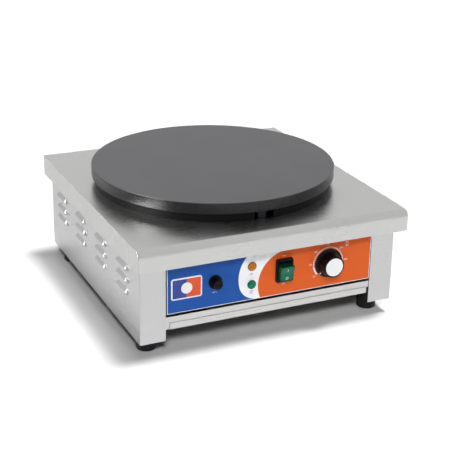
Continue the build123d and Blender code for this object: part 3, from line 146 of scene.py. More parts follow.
# %% Floor and room
FLOOR_SIZE = 60.0
FLOOR_DROP = 0.2 * MM
BOARD_WHITE = "#EFEFEF"
ROOM_LIGHT = 0.02
ROOM_SEEN_IN_METAL = 1.02

floor_finish = bpy.data.materials.new("matt_white_board")
floor_finish.use_nodes = True
tree = floor_finish.node_tree
tree.nodes.clear()
board = add_node(tree, "ShaderNodeBsdfDiffuse", {"Color": linear(BOARD_WHITE)})
add_node(tree, "ShaderNodeOutputMaterial", {"Surface": board.outputs[0]})

half = FLOOR_SIZE / 2
floor_mesh = bpy.data.meshes.new("floor")
floor_mesh.from_pydata(
    [(-half, -half, 0), (half, -half, 0), (half, half, 0), (-half, half, 0)], [],
    [(0, 1, 2, 3)],
)
floor_mesh.materials.append(floor_finish)
floor = bpy.data.objects.new("floor", floor_mesh)
floor.location.z = -FLOOR_DROP
bpy.context.scene.collection.objects.link(floor)

room = bpy.data.worlds.new("white_room")
room.use_nodes = True
bpy.context.scene.world = room
tree = room.node_tree
tree.nodes.clear()
rays = add_node(tree, "ShaderNodeLightPath")
mirrored = add_node(tree, "ShaderNodeMath", {0: rays.outputs["Is Glossy Ray"],
                                             1: rays.outputs["Is Transmission Ray"]},
                    operation="ADD", use_clamp=True)
dim = add_node(tree, "ShaderNodeMapRange", {"Value": mirrored.outputs[0],
                                            "To Min": ROOM_LIGHT,
                                            "To Max": ROOM_SEEN_IN_METAL})
strength = add_node(tree, "ShaderNodeMath", {0: dim.outputs[0],
                                             1: rays.outputs["Is Camera Ray"]},
                    operation="MAXIMUM")
air = add_node(tree, "ShaderNodeBackground", {"Strength": strength.outputs[0]})
add_node(tree, "ShaderNodeOutputWorld", {"Surface": air.outputs[0]})
print("room light", ROOM_LIGHT, "and", ROOM_SEEN_IN_METAL, "where metal mirrors it")

# %% [markdown]
# ## The lights
#
# Two lamps far away act like small suns with soft edges. The one overhead, a little to the
# right, gives most of the light. The one in front, from the left and 40 degrees up, fills
# the front. They leave a deep shadow only where neither reaches, under the housing. How
# wide a lamp looks, as an angle, sets how soft its shadow's edge is. Neither is mirrored in
# the steel, because the white room is what shows there.
#
# Two soft boxes on the left work the other way round: they are only mirrored. The high one
# draws a thin line of light on the plate's upper edge. The low one draws the broad streak on
# the plate's dark rim, by way of the steel below it: the rim stands upright, so from above
# it mirrors the cover, and the cover mirrors the box.

# %% Lamps
def far_lamp(name, direction, strength, angle):
    """A lamp so far off that its light is parallel, shining from that direction."""
    data = bpy.data.lights.new(name, "SUN")
    data.energy = strength
    data.angle = radians(angle)
    made = bpy.data.objects.new(name, data)
    made.rotation_euler = (-Vector(direction)).to_track_quat("-Z", "Y").to_euler()
    made.visible_glossy = False
    bpy.context.scene.collection.objects.link(made)


def soft_box(name, place, width, height, power):
    """A rectangular lamp that faces the middle of the object and is only seen mirrored."""
    data = bpy.data.lights.new(name, "AREA")
    data.shape = "RECTANGLE"
    data.size = width
    data.size_y = height
    data.energy = power
    made = bpy.data.objects.new(name, data)
    made.location = place
    made.rotation_euler = (AIM - Vector(place)).to_track_quat("-Z", "Y").to_euler()
    made.visible_diffuse = False
    bpy.context.scene.collection.objects.link(made)


far_lamp("overhead_lamp", direction=(0.19, -0.08, 1.0), strength=3.0, angle=14)
far_lamp("front_lamp", direction=(-0.40, -1.0, 0.90), strength=1.55, angle=12)
soft_box("left_box", place=(-2.39, -0.20, 1.10), width=1.1, height=0.45, power=62)
soft_box("left_high_box", place=(-1.5, 0.4, 2.1), width=0.9, height=0.9, power=30)

# %% [markdown]
# ## Brushed stainless steel
#
# The housing is 304 stainless sheet with a number 4 finish: it was drawn past a belt, which
# leaves fine straight scratches all in one direction. Where the sheet is folded, the
# scratches follow it round the bend. So the pattern needs two coordinates, one along the
# scratches and one across them, and both are made from the place and the face's direction.
#
# Real scratches are about 0.1 mm apart, which is finer than the picture can show. They are
# drawn 0.9 mm apart here, so that the eye still reads them as brushing.
#
# The faces to the left and right get painted shade: their colour is darker than that of the
# top and the front. The faces that look down, over the table, are painted darker still, as
# painted shade under the housing that also deepens the shadow on the floor beneath it.

# %% Brushed stainless
SCRATCH_PITCH = 0.9 * MM
SCRATCH_LENGTH = 160 * MM
SCRATCH_DEPTH = 0.04 * MM
SCRATCH_STRENGTH = 0.05
SCRATCH_TONE = 0.04
SCRATCH_GLOSS = 0.03
SMUDGE_SIZE = 70 * MM
SMUDGE_GLOSS = {"From Min": 0.35, "From Max": 0.65, "To Min": -0.02, "To Max": 0.03}
# Painted shade: faces to the sides, and more so faces that look down, get a darker colour.
SIDE_PAINTED_SHADE = 0.78
UNDER_PAINTED_SHADE = 0.35
# How far down a face looks: full painted shade at the first value, none at the second.
LOOKS_DOWN = {"From Min": -0.9, "From Max": -0.5}


def scratch_lanes(tree, where, along_x):
    """The place along and across the scratches, which follow the sheet round its folds."""
    spot = add_node(tree, "ShaderNodeSeparateXYZ", {0: where.outputs["Object"]})
    facing = add_node(tree, "ShaderNodeVectorMath", {0: where.outputs["Normal"]},
                      operation="ABSOLUTE")
    facing = add_node(tree, "ShaderNodeSeparateXYZ", {0: facing.outputs[0]})
    if along_x:
        across = add_node(tree, "ShaderNodeMath",
                          {0: spot.outputs["Z"], 1: facing.outputs["Y"], 2: spot.outputs["Y"]},
                          operation="MULTIPLY_ADD").outputs[0]
        along = add_node(tree, "ShaderNodeMath",
                         {0: spot.outputs["Z"], 1: facing.outputs["X"], 2: spot.outputs["X"]},
                         operation="MULTIPLY_ADD").outputs[0]
    else:
        across = spot.outputs["Z"]
        along = add_node(tree, "ShaderNodeMath", {0: spot.outputs["X"], 1: spot.outputs["Y"]},
                         operation="ADD").outputs[0]
    along = add_node(tree, "ShaderNodeMath", {0: along, 1: 1 / SCRATCH_LENGTH},
                     operation="MULTIPLY")
    across = add_node(tree, "ShaderNodeMath", {0: across, 1: 1 / SCRATCH_PITCH},
                      operation="MULTIPLY")
    return add_node(tree, "ShaderNodeCombineXYZ", {0: along.outputs[0], 1: across.outputs[0]})


def painted_shade_factor(tree, where):
    """A factor of the tone for painted shade: lower on the sides, and lowest on faces below."""
    facing = add_node(tree, "ShaderNodeSeparateXYZ", {0: where.outputs["Normal"]})
    sideways = add_node(tree, "ShaderNodeMath", {0: facing.outputs["X"]}, operation="ABSOLUTE")
    side_shade = add_node(tree, "ShaderNodeMapRange", {"Value": sideways.outputs[0],
                                                   "To Min": 1.0, "To Max": SIDE_PAINTED_SHADE})
    under_shade = add_node(tree, "ShaderNodeMapRange", {"Value": facing.outputs["Z"], **LOOKS_DOWN,
                                                 "To Min": UNDER_PAINTED_SHADE, "To Max": 1.0})
    return add_node(tree, "ShaderNodeMath", {0: side_shade.outputs[0], 1: under_shade.outputs[0]},
                    operation="MULTIPLY")


def brushed_sheet(name, hex_code, roughness, along_x):
    """Stainless sheet with scratches along X (cover, panels) or level (side panels)."""
    made, tree, shader = new_finish(name, Metallic=1.0)
    where = add_node(tree, "ShaderNodeTexCoord")
    lanes = scratch_lanes(tree, where, along_x)
    scratches = add_node(tree, "ShaderNodeTexNoise", {"Vector": lanes.outputs[0], "Scale": 1.0,
                                                      "Detail": 3.0, "Roughness": 0.6})
    smudges = add_node(tree, "ShaderNodeTexNoise", {"Vector": where.outputs["Object"],
                                                    "Scale": 1 / SMUDGE_SIZE, "Detail": 2.0})
    base = Vector(linear(hex_code)[:3])
    tone = add_node(tree, "ShaderNodeMix", {"Factor": scratches.outputs[0],
                                            6: (*base * (1 - SCRATCH_TONE), 1),
                                            7: (*base * (1 + SCRATCH_TONE), 1)},
                    data_type="RGBA")
    tone = add_node(tree, "ShaderNodeVectorMath",
                    {0: tone.outputs[2], "Scale": painted_shade_factor(tree, where).outputs[0]},
                    operation="SCALE")
    tree.links.new(tone.outputs[0], shader.inputs["Base Color"])
    worn = add_node(tree, "ShaderNodeMapRange", {"Value": scratches.outputs[0], **NOISE_RANGE,
                                                 "To Min": roughness - SCRATCH_GLOSS,
                                                 "To Max": roughness + SCRATCH_GLOSS})
    touched = add_node(tree, "ShaderNodeMapRange", {"Value": smudges.outputs[0],
                                                    **SMUDGE_GLOSS})
    rough = add_node(tree, "ShaderNodeMath", {0: worn.outputs[0], 1: touched.outputs[0]},
                     operation="ADD")
    tree.links.new(rough.outputs[0], shader.inputs["Roughness"])
    bump = add_node(tree, "ShaderNodeBump", {"Height": scratches.outputs[0],
                                             "Strength": SCRATCH_STRENGTH,
                                             "Distance": SCRATCH_DEPTH})
    tree.links.new(bump.outputs[0], shader.inputs["Normal"])
    return made


stainless_cover = brushed_sheet("brushed_stainless_lengthwise", "#C6C6C5", 0.29, True)
stainless_side = brushed_sheet("brushed_stainless_level", "#C2C2C2", 0.30, False)
print("scratches drawn every", SCRATCH_PITCH / MM, "mm")

# %% [markdown]
# ## Seasoned cast iron
#
# The plate is grey cast iron. Its top is ground flat and seasoned with baked oil, a thin
# dark layer that is satin rather than matt. The rim gets painted shade: a far darker colour.
# Turning on a lathe leaves faint rings round the plate's middle, and the casting itself has
# a fine grain of a little under a millimetre.

# %% Cast iron
TURNING_PITCH = 2.4 * MM
CASTING_GRAIN = 0.9 * MM
OIL_PATCH = 90 * MM
OIL_TONE = 0.07
IRON_RELIEF = 0.04 * MM
IRON_STRENGTH = 0.10
# Painted shade: the upright rim is coloured much darker than the top of the same iron.
RIM_IRON_PAINTED_SHADE = "#0A0A0B"
TOP_IRON = "#454547"
SATIN = {"To Min": 0.24, "To Max": 0.30}
GROUND_ROUGHER = 0.15
# How far up a face looks: all rim at the first value, all top at the second.
LOOKS_UP = {"From Min": 0.5, "From Max": 0.9}
low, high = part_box("griddle_plate")
plate_centre = (low + high) / 2

griddle_iron, tree, shader = new_finish("seasoned_cast_iron", Specular_IOR_Level=0.42)
where = add_node(tree, "ShaderNodeTexCoord")
flat = add_node(tree, "ShaderNodeVectorMath", {0: where.outputs["Object"], 1: (1, 1, 0)},
                operation="MULTIPLY")
reach = add_node(tree, "ShaderNodeVectorMath",
                 {0: flat.outputs[0], 1: (plate_centre.x, plate_centre.y, 0)},
                 operation="DISTANCE")
turns = add_node(tree, "ShaderNodeMath", {0: reach.outputs["Value"], 1: 1 / TURNING_PITCH},
                 operation="MULTIPLY")
rings = add_node(tree, "ShaderNodeTexNoise", {"W": turns.outputs[0], "Scale": 1.0,
                                              "Detail": 1.0}, noise_dimensions="1D")
grain = add_node(tree, "ShaderNodeTexNoise", {"Vector": where.outputs["Object"],
                                              "Scale": 1 / CASTING_GRAIN, "Detail": 2.0})
patches = add_node(tree, "ShaderNodeTexNoise", {"Vector": where.outputs["Object"],
                                                "Scale": 1 / OIL_PATCH, "Detail": 3.0})
upward = add_node(tree, "ShaderNodeSeparateXYZ", {0: where.outputs["Normal"]})
on_top = add_node(tree, "ShaderNodeMapRange", {"Value": upward.outputs["Z"], **LOOKS_UP})
iron = add_node(tree, "ShaderNodeMix", {"Factor": on_top.outputs[0], 6: linear(RIM_IRON_PAINTED_SHADE),
                                        7: linear(TOP_IRON)}, data_type="RGBA")
oiled = add_node(tree, "ShaderNodeMapRange", {"Value": patches.outputs[0], **NOISE_RANGE,
                                              "To Min": 1 - OIL_TONE, "To Max": 1 + OIL_TONE})
shade = add_node(tree, "ShaderNodeVectorMath", {0: iron.outputs[2], "Scale": oiled.outputs[0]},
                 operation="SCALE")
tree.links.new(shade.outputs[0], shader.inputs["Base Color"])
satin = add_node(tree, "ShaderNodeMapRange", {"Value": grain.outputs[0], **NOISE_RANGE,
                                              **SATIN})
ground = add_node(tree, "ShaderNodeMath",
                  {0: on_top.outputs[0], 1: GROUND_ROUGHER, 2: satin.outputs[0]},
                  operation="MULTIPLY_ADD")
tree.links.new(ground.outputs[0], shader.inputs["Roughness"])
relief = add_node(tree, "ShaderNodeMath", {0: rings.outputs[0], 1: grain.outputs[0]},
                  operation="ADD")
bump = add_node(tree, "ShaderNodeBump", {"Height": relief.outputs[0],
                                         "Strength": IRON_STRENGTH,
                                         "Distance": IRON_RELIEF})
tree.links.new(bump.outputs[0], shader.inputs["Normal"])
print("plate across", round((high.x - low.x) / MM), "mm")

# %% [markdown]
# ## Simple finishes that share one recipe
#
# The other pieces are plain materials with a fine surface grain: rubber, moulded plastic,
# paint, turned or plated steel. They differ in colour, gloss and the size of the grain, so
# one function makes them all. The grain moves the colour a little, the roughness a little,
# and the surface itself, which is what stops a surface from looking like one flat colour.

# %% A grained finish
CLOUD_TIMES_GRAIN = 25
GRAIN_STRENGTH = 0.5
GRAIN_GLOSS = 0.06
SMOOTHEST = 0.02
# Two noises added together seldom leave this range.
TWO_NOISES_RANGE = {"From Min": 0.7, "From Max": 1.3}


def grained(name, hex_code, roughness, grain_mm, relief_mm, contrast=0.12, **values):
    """Plain material with a fine grain of that size and depth, both in millimetres."""
    made, tree, shader = new_finish(name, **values)
    where = add_node(tree, "ShaderNodeTexCoord")
    grain = add_node(tree, "ShaderNodeTexNoise", {"Vector": where.outputs["Object"],
                                                  "Scale": 1 / (grain_mm * MM), "Detail": 3.0})
    cloud_size = CLOUD_TIMES_GRAIN * grain_mm * MM
    cloud = add_node(tree, "ShaderNodeTexNoise", {"Vector": where.outputs["Object"],
                                                  "Scale": 1 / cloud_size})
    mixed = add_node(tree, "ShaderNodeMath", {0: grain.outputs[0], 1: cloud.outputs[0]},
                     operation="ADD")
    tint = add_node(tree, "ShaderNodeMapRange", {"Value": mixed.outputs[0], **TWO_NOISES_RANGE,
                                                 "To Min": 1 - contrast,
                                                 "To Max": 1 + contrast})
    colour = add_node(tree, "ShaderNodeVectorMath", {0: linear(hex_code)[:3],
                                                     "Scale": tint.outputs[0]},
                      operation="SCALE")
    tree.links.new(colour.outputs[0], shader.inputs["Base Color"])
    smooth = max(roughness - GRAIN_GLOSS, SMOOTHEST)
    rough = add_node(tree, "ShaderNodeMapRange", {"Value": grain.outputs[0], **NOISE_RANGE,
                                                  "To Min": smooth,
                                                  "To Max": roughness + GRAIN_GLOSS})
    tree.links.new(rough.outputs[0], shader.inputs["Roughness"])
    bump = add_node(tree, "ShaderNodeBump", {"Height": grain.outputs[0],
                                             "Strength": GRAIN_STRENGTH,
                                             "Distance": relief_mm * MM})
    tree.links.new(bump.outputs[0], shader.inputs["Normal"])
    return made


finishes = {
    # black heat paint baked on the collar under the plate: it mirrors hardly anything
    "collar_steel": grained("black_heat_paint", "#060606", 0.50, 3.0, 0.01,
                            Specular_IOR_Level=0.12),
    # free-cutting steel turned on a lathe, then blued almost black against rust
    "support_steel": grained("blued_steel", "#34343A", 0.30, 0.6, 0.01, Metallic=1.0),
    # natural rubber feet: matt, with a moulded grain
    "foot_rubber": grained("black_rubber", "#121213", 0.6, 0.7, 0.05, Specular_IOR_Level=0.3),
    # zinc-plated screws, nuts and studs: a bluish satin
    "plated_steel": grained("zinc_plated_steel", "#B9BCC0", 0.32, 0.5, 0.01, Metallic=1.0),
    # aluminised sheet of the heater tray: spangled and dull
    "tray_steel": grained("aluminised_steel", "#A9A9A6", 0.45, 2.0, 0.01, Metallic=1.0),
    "reflector_aluminium": grained("bright_aluminium", "#DADBDC", 0.18, 1.5, 0.01,
                                   Metallic=1.0),
    # ceramic fibre blanket: white, loose and quite matt
    "ceramic_wool": grained("ceramic_fibre", "#E6E3DA", 0.95, 1.4, 0.6, contrast=0.2),
    # nickel steel sheath of the elements, blackened in use
    "element_sheath": grained("oxidised_nickel_steel", "#55504B", 0.5, 0.8, 0.02, Metallic=0.8),
    "terminal_brass": grained("rolled_brass", "#C9A24E", 0.3, 0.8, 0.01, Metallic=1.0),
    "capillary_copper": grained("drawn_copper", "#B8714A", 0.3, 0.8, 0.01, Metallic=1.0),
    # glass-filled ABS of the knob, bezel, fuse holder and gland: spark-eroded mould grain
    "black_plastic": grained("moulded_black_abs", "#070708", 0.30, 0.45, 0.02,
                             Specular_IOR_Level=0.15),
    "fitting_plastic": grained("cream_polyamide", "#D8D2C2", 0.45, 0.6, 0.02),
    "control_housing": grained("black_phenolic", "#2A2724", 0.5, 0.8, 0.02),
    "wire_insulation": grained("silicone_glass_braid", "#CFC9BA", 0.7, 0.8, 0.15,
                               contrast=0.2),
    "fuse_glass": grained("fuse_glass", "#DDE6E6", 0.05, 2.0, 0.002, Transmission_Weight=0.9,
                          IOR=1.5),
}
finishes["griddle_iron"] = griddle_iron
finishes["stainless"] = stainless_cover
print("finishes so far:", len(finishes))

# %% [markdown]
# ## Lamp lenses and the rocker
#
# A pilot lamp's lens is tinted polycarbonate with small pyramids moulded on its back, which
# scatter the lamp's light. Unlit, they show as a pattern of dark and bright facets, and the
# lens looks darkest at its rim, where the eye looks through the most plastic. Both are painted
# into the colour: a Voronoi texture with cells of about 2 mm gives the facets as painted light
# and shade, besides their relief, and the distance from the lens's middle gives a painted dark
# rim.
#
# The rocker is moulded in the same plastic round a square lamp chamber, and its colour too
# is painted brighter in its middle and painted darker towards its edges.

# %% Tinted plastic
FACET_SIZE = 2.1 * MM
FACET_RELIEF = 0.4 * MM
FACET_STRENGTH = 0.5
# Where a facet's painted shade starts and is darkest, in cell sizes from its middle.
FACET_RANGE = {"From Min": 0.1, "From Max": 0.6}
# How dark the painted shade at the rim gets.
PAINTED_RIM_SHADE = 0.9


def tinted_plastic(name, node, painted_shade_hex, painted_light_hex, clear_share, power, facet_share):
    """Tinted plastic, painted brighter in the middle and painted darker at the edges; a high
    power is squarer.
    """
    low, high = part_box(node)
    middle = (low + high) / 2
    reach = ((high.x - low.x) / 2, 1.0, (high.z - low.z) / 2)
    made, tree, shader = new_finish(name, Roughness=0.12, Specular_IOR_Level=0.25)
    where = add_node(tree, "ShaderNodeTexCoord")
    aside = add_node(tree, "ShaderNodeVectorMath", {0: where.outputs["Object"], 1: middle},
                     operation="SUBTRACT")
    share = add_node(tree, "ShaderNodeVectorMath", {0: aside.outputs[0], 1: reach},
                     operation="DIVIDE")
    share = add_node(tree, "ShaderNodeVectorMath", {0: share.outputs[0]}, operation="ABSOLUTE")
    share = add_node(tree, "ShaderNodeSeparateXYZ", {0: share.outputs[0]})
    across = add_node(tree, "ShaderNodeMath", {0: share.outputs["X"], 1: power},
                      operation="POWER")
    upright = add_node(tree, "ShaderNodeMath", {0: share.outputs["Z"], 1: power},
                       operation="POWER")
    away = add_node(tree, "ShaderNodeMath", {0: across.outputs[0], 1: upright.outputs[0]},
                    operation="ADD")
    rim = add_node(tree, "ShaderNodeMapRange", {"Value": away.outputs[0],
                                                "From Min": clear_share ** power,
                                                "From Max": 1.0, "To Max": PAINTED_RIM_SHADE})
    cells = add_node(tree, "ShaderNodeTexVoronoi", {"Vector": where.outputs["Object"],
                                                    "Scale": 1 / FACET_SIZE},
                     distance="CHEBYCHEV")
    facets = add_node(tree, "ShaderNodeMapRange", {"Value": cells.outputs["Distance"],
                                                   **FACET_RANGE, "To Max": facet_share})
    # Painted light and shade: the facets and the rim move the colour towards the painted shade.
    depth = add_node(tree, "ShaderNodeMath", {0: facets.outputs[0], 1: rim.outputs[0]},
                     operation="MAXIMUM")
    colour = add_node(tree, "ShaderNodeMix", {"Factor": depth.outputs[0],
                                              6: linear(painted_light_hex), 7: linear(painted_shade_hex)},
                      data_type="RGBA")
    tree.links.new(colour.outputs[2], shader.inputs["Base Color"])
    bump = add_node(tree, "ShaderNodeBump", {"Height": cells.outputs["Distance"],
                                             "Strength": FACET_STRENGTH * facet_share,
                                             "Distance": FACET_RELIEF})
    tree.links.new(bump.outputs[0], shader.inputs["Normal"])
    return made


finishes["lens_amber"] = tinted_plastic(
    "amber_polycarbonate", "lamp_lens_amber", painted_shade_hex="#6E3005", painted_light_hex="#F09A24",
    clear_share=0.5, power=2, facet_share=0.9)
finishes["lens_green"] = tinted_plastic(
    "green_lens_polycarbonate", "lamp_lens_green", painted_shade_hex="#053F33", painted_light_hex="#159A78",
    clear_share=0.5, power=2, facet_share=0.8)
finishes["rocker_green"] = tinted_plastic(
    "green_polycarbonate", "switch_rocker", painted_shade_hex="#03302A", painted_light_hex="#046C4C",
    clear_share=0.40, power=6, facet_share=0.15)
print("facets", FACET_SIZE / MM, "mm")

# %% [markdown]
# ## The printed facing
#
# The panel is covered with a polyester film, printed on its back in three flat inks: blue
# on the left, a white crescent round the lamps, and orange on the right. The edges of the
# crescent are circular arcs, so each field can be told by one distance: a point belongs to
# a disc if it is nearer to the disc's centre than its radius. A thin border stays white at
# the left, the right and the bottom. The colour stays sharp at any size, because it is
# worked out for each point.

# %% Fields of the printed facing
face_low, face_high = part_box("panel_facing")
PRINT_BORDER = 0.9 * MM
HOUSING_BOTTOM = 24 * MM
# (centre x, centre height above the housing's lower edge, radius) of each arc
CRESCENT_UPPER = (-1.9 * MM, 79.9 * MM, 54.4 * MM)
CRESCENT_LOWER = (-25.5 * MM, 73.7 * MM, 30.0 * MM)
ORANGE_ARC = (29.75 * MM, 64.6 * MM, 53.2 * MM)
ARCS_MEET = 66 * MM
INK_BLUE = linear("#1753A8")
INK_ORANGE = linear("#E2611F")
INK_WHITE = linear("#F8F9FD")
FILM_GRAIN = 0.8 * MM
FILM_RELIEF = 0.01 * MM
FILM_STRENGTH = 0.15

printed_film, tree, shader = new_finish("printed_polyester_film", Roughness=0.38,
                                        Specular_IOR_Level=0.2)
where = add_node(tree, "ShaderNodeTexCoord")
spot = add_node(tree, "ShaderNodeSeparateXYZ", {0: where.outputs["Object"]})


def in_disc(tree, spot, arc):
    """A node that gives 1 inside the arc's disc and everywhere to the right of its centre."""
    x, height, radius = arc
    level = add_node(tree, "ShaderNodeCombineXYZ", {0: spot.outputs["X"],
                                                    2: spot.outputs["Z"]})
    away = add_node(tree, "ShaderNodeVectorMath",
                    {0: level.outputs[0], 1: (x, 0, height + HOUSING_BOTTOM)},
                    operation="DISTANCE")
    near = add_node(tree, "ShaderNodeMath", {0: away.outputs["Value"], 1: radius},
                    operation="LESS_THAN")
    beyond = add_node(tree, "ShaderNodeMath", {0: spot.outputs["X"], 1: x},
                      operation="GREATER_THAN")
    return add_node(tree, "ShaderNodeMath", {0: near.outputs[0], 1: beyond.outputs[0]},
                    operation="MAXIMUM")


upper = add_node(tree, "ShaderNodeMath", {0: spot.outputs["Z"], 1: ARCS_MEET + HOUSING_BOTTOM},
                 operation="GREATER_THAN")
crescent = add_node(tree, "ShaderNodeMix",
                    {"Factor": upper.outputs[0],
                     2: in_disc(tree, spot, CRESCENT_LOWER).outputs[0],
                     3: in_disc(tree, spot, CRESCENT_UPPER).outputs[0]})
orange = in_disc(tree, spot, ORANGE_ARC)
printed = 1.0
for axis, edge, side in (
    ("X", face_low.x + PRINT_BORDER, "GREATER_THAN"),
    ("X", face_high.x - PRINT_BORDER, "LESS_THAN"),
    ("Z", face_low.z + PRINT_BORDER, "GREATER_THAN"),
):
    clear = add_node(tree, "ShaderNodeMath", {0: spot.outputs[axis], 1: edge}, operation=side)
    printed = add_node(tree, "ShaderNodeMath", {0: clear.outputs[0], 1: printed},
                       operation="MULTIPLY").outputs[0]
colour = add_node(tree, "ShaderNodeMix", {"Factor": crescent.outputs[0], 6: INK_BLUE,
                                          7: INK_WHITE}, data_type="RGBA")
colour = add_node(tree, "ShaderNodeMix", {"Factor": orange.outputs[0], 6: colour.outputs[2],
                                          7: INK_ORANGE}, data_type="RGBA")
colour = add_node(tree, "ShaderNodeMix", {"Factor": printed, 6: INK_WHITE,
                                          7: colour.outputs[2]}, data_type="RGBA")
tree.links.new(colour.outputs[2], shader.inputs["Base Color"])
dimple = add_node(tree, "ShaderNodeTexNoise", {"Vector": where.outputs["Object"],
                                               "Scale": 1 / FILM_GRAIN})
bump = add_node(tree, "ShaderNodeBump", {"Height": dimple.outputs[0],
                                         "Strength": FILM_STRENGTH,
                                         "Distance": FILM_RELIEF})
tree.links.new(bump.outputs[0], shader.inputs["Normal"])
finishes["printed_facing"] = printed_film
print("facing", round((face_high.x - face_low.x) / MM, 1), "mm wide")

# %% [markdown]
# ## A plain badge and the knob's disc
#
# The badge place holds a domed resin plate: a white border round a field in two plain
# colours with a white disc, which stands for no maker. The knob's front is closed with a
# disc of spun aluminium, whose fine rings catch the light in two opposite wedges. The rings
# are drawn 0.8 mm apart.

# %% Badge
badge_low, badge_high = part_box("badge")
badge_centre = (badge_low + badge_high) / 2
BADGE_BORDER = 2.2 * MM
BADGE_DISC = 9.0 * MM
BADGE_LEFT = linear("#35479C")
BADGE_RIGHT = linear("#E4572F")
BADGE_WHITE = linear("#F0F1F4")
RESIN_RIPPLE = 6 * MM
RIPPLE_DEPTH = 0.05 * MM
RIPPLE_STRENGTH = 0.1

badge_resin, tree, shader = new_finish("printed_resin_badge", Roughness=0.15,
                                       Specular_IOR_Level=0.3)
where = add_node(tree, "ShaderNodeTexCoord")
aside = add_node(tree, "ShaderNodeVectorMath", {0: where.outputs["Object"], 1: badge_centre},
                 operation="SUBTRACT")
spot = add_node(tree, "ShaderNodeSeparateXYZ", {0: aside.outputs[0]})
level = add_node(tree, "ShaderNodeCombineXYZ", {0: spot.outputs["X"], 2: spot.outputs["Z"]})
away = add_node(tree, "ShaderNodeVectorMath", {0: level.outputs[0]}, operation="LENGTH")
inked = add_node(tree, "ShaderNodeMath", {0: away.outputs["Value"], 1: BADGE_DISC},
                 operation="GREATER_THAN").outputs[0]
for axis, reach in (
    ("X", (badge_high.x - badge_low.x) / 2 - BADGE_BORDER),
    ("Z", (badge_high.z - badge_low.z) / 2 - BADGE_BORDER),
):
    away = add_node(tree, "ShaderNodeMath", {0: spot.outputs[axis]}, operation="ABSOLUTE")
    clear = add_node(tree, "ShaderNodeMath", {0: away.outputs[0], 1: reach},
                     operation="LESS_THAN")
    inked = add_node(tree, "ShaderNodeMath", {0: clear.outputs[0], 1: inked},
                     operation="MULTIPLY").outputs[0]
left_half = add_node(tree, "ShaderNodeMath", {0: spot.outputs["X"], 1: 0.0},
                     operation="LESS_THAN")
field = add_node(tree, "ShaderNodeMix", {"Factor": left_half.outputs[0], 6: BADGE_RIGHT,
                                         7: BADGE_LEFT}, data_type="RGBA")
colour = add_node(tree, "ShaderNodeMix", {"Factor": inked, 6: BADGE_WHITE,
                                          7: field.outputs[2]}, data_type="RGBA")
tree.links.new(colour.outputs[2], shader.inputs["Base Color"])
ripple = add_node(tree, "ShaderNodeTexNoise", {"Vector": where.outputs["Object"],
                                               "Scale": 1 / RESIN_RIPPLE})
bump = add_node(tree, "ShaderNodeBump", {"Height": ripple.outputs[0],
                                         "Strength": RIPPLE_STRENGTH,
                                         "Distance": RIPPLE_DEPTH})
tree.links.new(bump.outputs[0], shader.inputs["Normal"])
finishes["badge_plastic"] = badge_resin
print("badge disc", 2 * BADGE_DISC / MM, "mm")

# %% Spun disc of the knob
RING_PITCH = 0.8 * MM
RING_DEPTH = 0.05 * MM
RING_STRENGTH = 0.35
RING_DARK = linear("#D5D7DA")
RING_LIGHT = linear("#F2F3F4")
cap_low, cap_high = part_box("knob_cap")
knob_centre = (cap_low + cap_high) / 2

spun_disc, tree, shader = new_finish("spun_aluminium", Metallic=1.0, Roughness=0.24)
where = add_node(tree, "ShaderNodeTexCoord")
level = add_node(tree, "ShaderNodeVectorMath", {0: where.outputs["Object"], 1: (1, 0, 1)},
                 operation="MULTIPLY")
away = add_node(tree, "ShaderNodeVectorMath",
                {0: level.outputs[0], 1: (knob_centre.x, 0, knob_centre.z)},
                operation="DISTANCE")
turns = add_node(tree, "ShaderNodeMath", {0: away.outputs["Value"], 1: 1 / RING_PITCH},
                 operation="MULTIPLY")
rings = add_node(tree, "ShaderNodeTexNoise", {"W": turns.outputs[0], "Scale": 1.0,
                                              "Detail": 2.0}, noise_dimensions="1D")
tone = add_node(tree, "ShaderNodeMix", {"Factor": rings.outputs[0], 6: RING_DARK,
                                        7: RING_LIGHT}, data_type="RGBA")
tree.links.new(tone.outputs[2], shader.inputs["Base Color"])
bump = add_node(tree, "ShaderNodeBump", {"Height": rings.outputs[0],
                                         "Strength": RING_STRENGTH,
                                         "Distance": RING_DEPTH})
tree.links.new(bump.outputs[0], shader.inputs["Normal"])
finishes["knob_insert"] = spun_disc
print("knob at", [round(c / MM, 1) for c in knob_centre])

# %% [markdown]
# ## Dress the frame
#
# Each piece names a material slot in its record, so a loop can hand out the finishes. Only
# the side panels differ: their sheet was cut with its scratches level.

# %% Give every piece its finish
for entry in frame["record"]["subparts"]:
    for holder in nodes[entry["node"]].material_slots:
        holder.material = finishes[entry["material_slot"]]
for name in ("side_panel_left", "side_panel_right"):
    for holder in nodes[name].material_slots:
        holder.material = stainless_side
print("dressed", len(nodes), "pieces")

# %% [markdown]
# ## Prints on the panel
#
# Marks on the film are ink a few hundredths of a millimetre thick. Each is a flat mesh that
# lies just in front of the film. Strokes along an arc are made as a strip of short quads,
# and words are made with Blender's own text objects, turned into meshes at once.

# %% Helpers for prints
INK_LIFT = 0.06 * MM
CAPITAL_SHARE = 0.7
LETTER_STEPS = 3
film_y = face_low.y
white_ink = grained("white_screen_ink", "#F4F5F7", 0.4, 0.6, 0.005, contrast=0.03)
blue_ink = grained("blue_screen_ink", "#2F5FA8", 0.4, 0.6, 0.005, contrast=0.05)


def place_piece(name, mesh, finish, body):
    """Puts a new mesh in the scene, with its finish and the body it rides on."""
    mesh.materials.append(finish)
    made = bpy.data.objects.new(name, mesh)
    bpy.context.scene.collection.objects.link(made)
    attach(made, body)


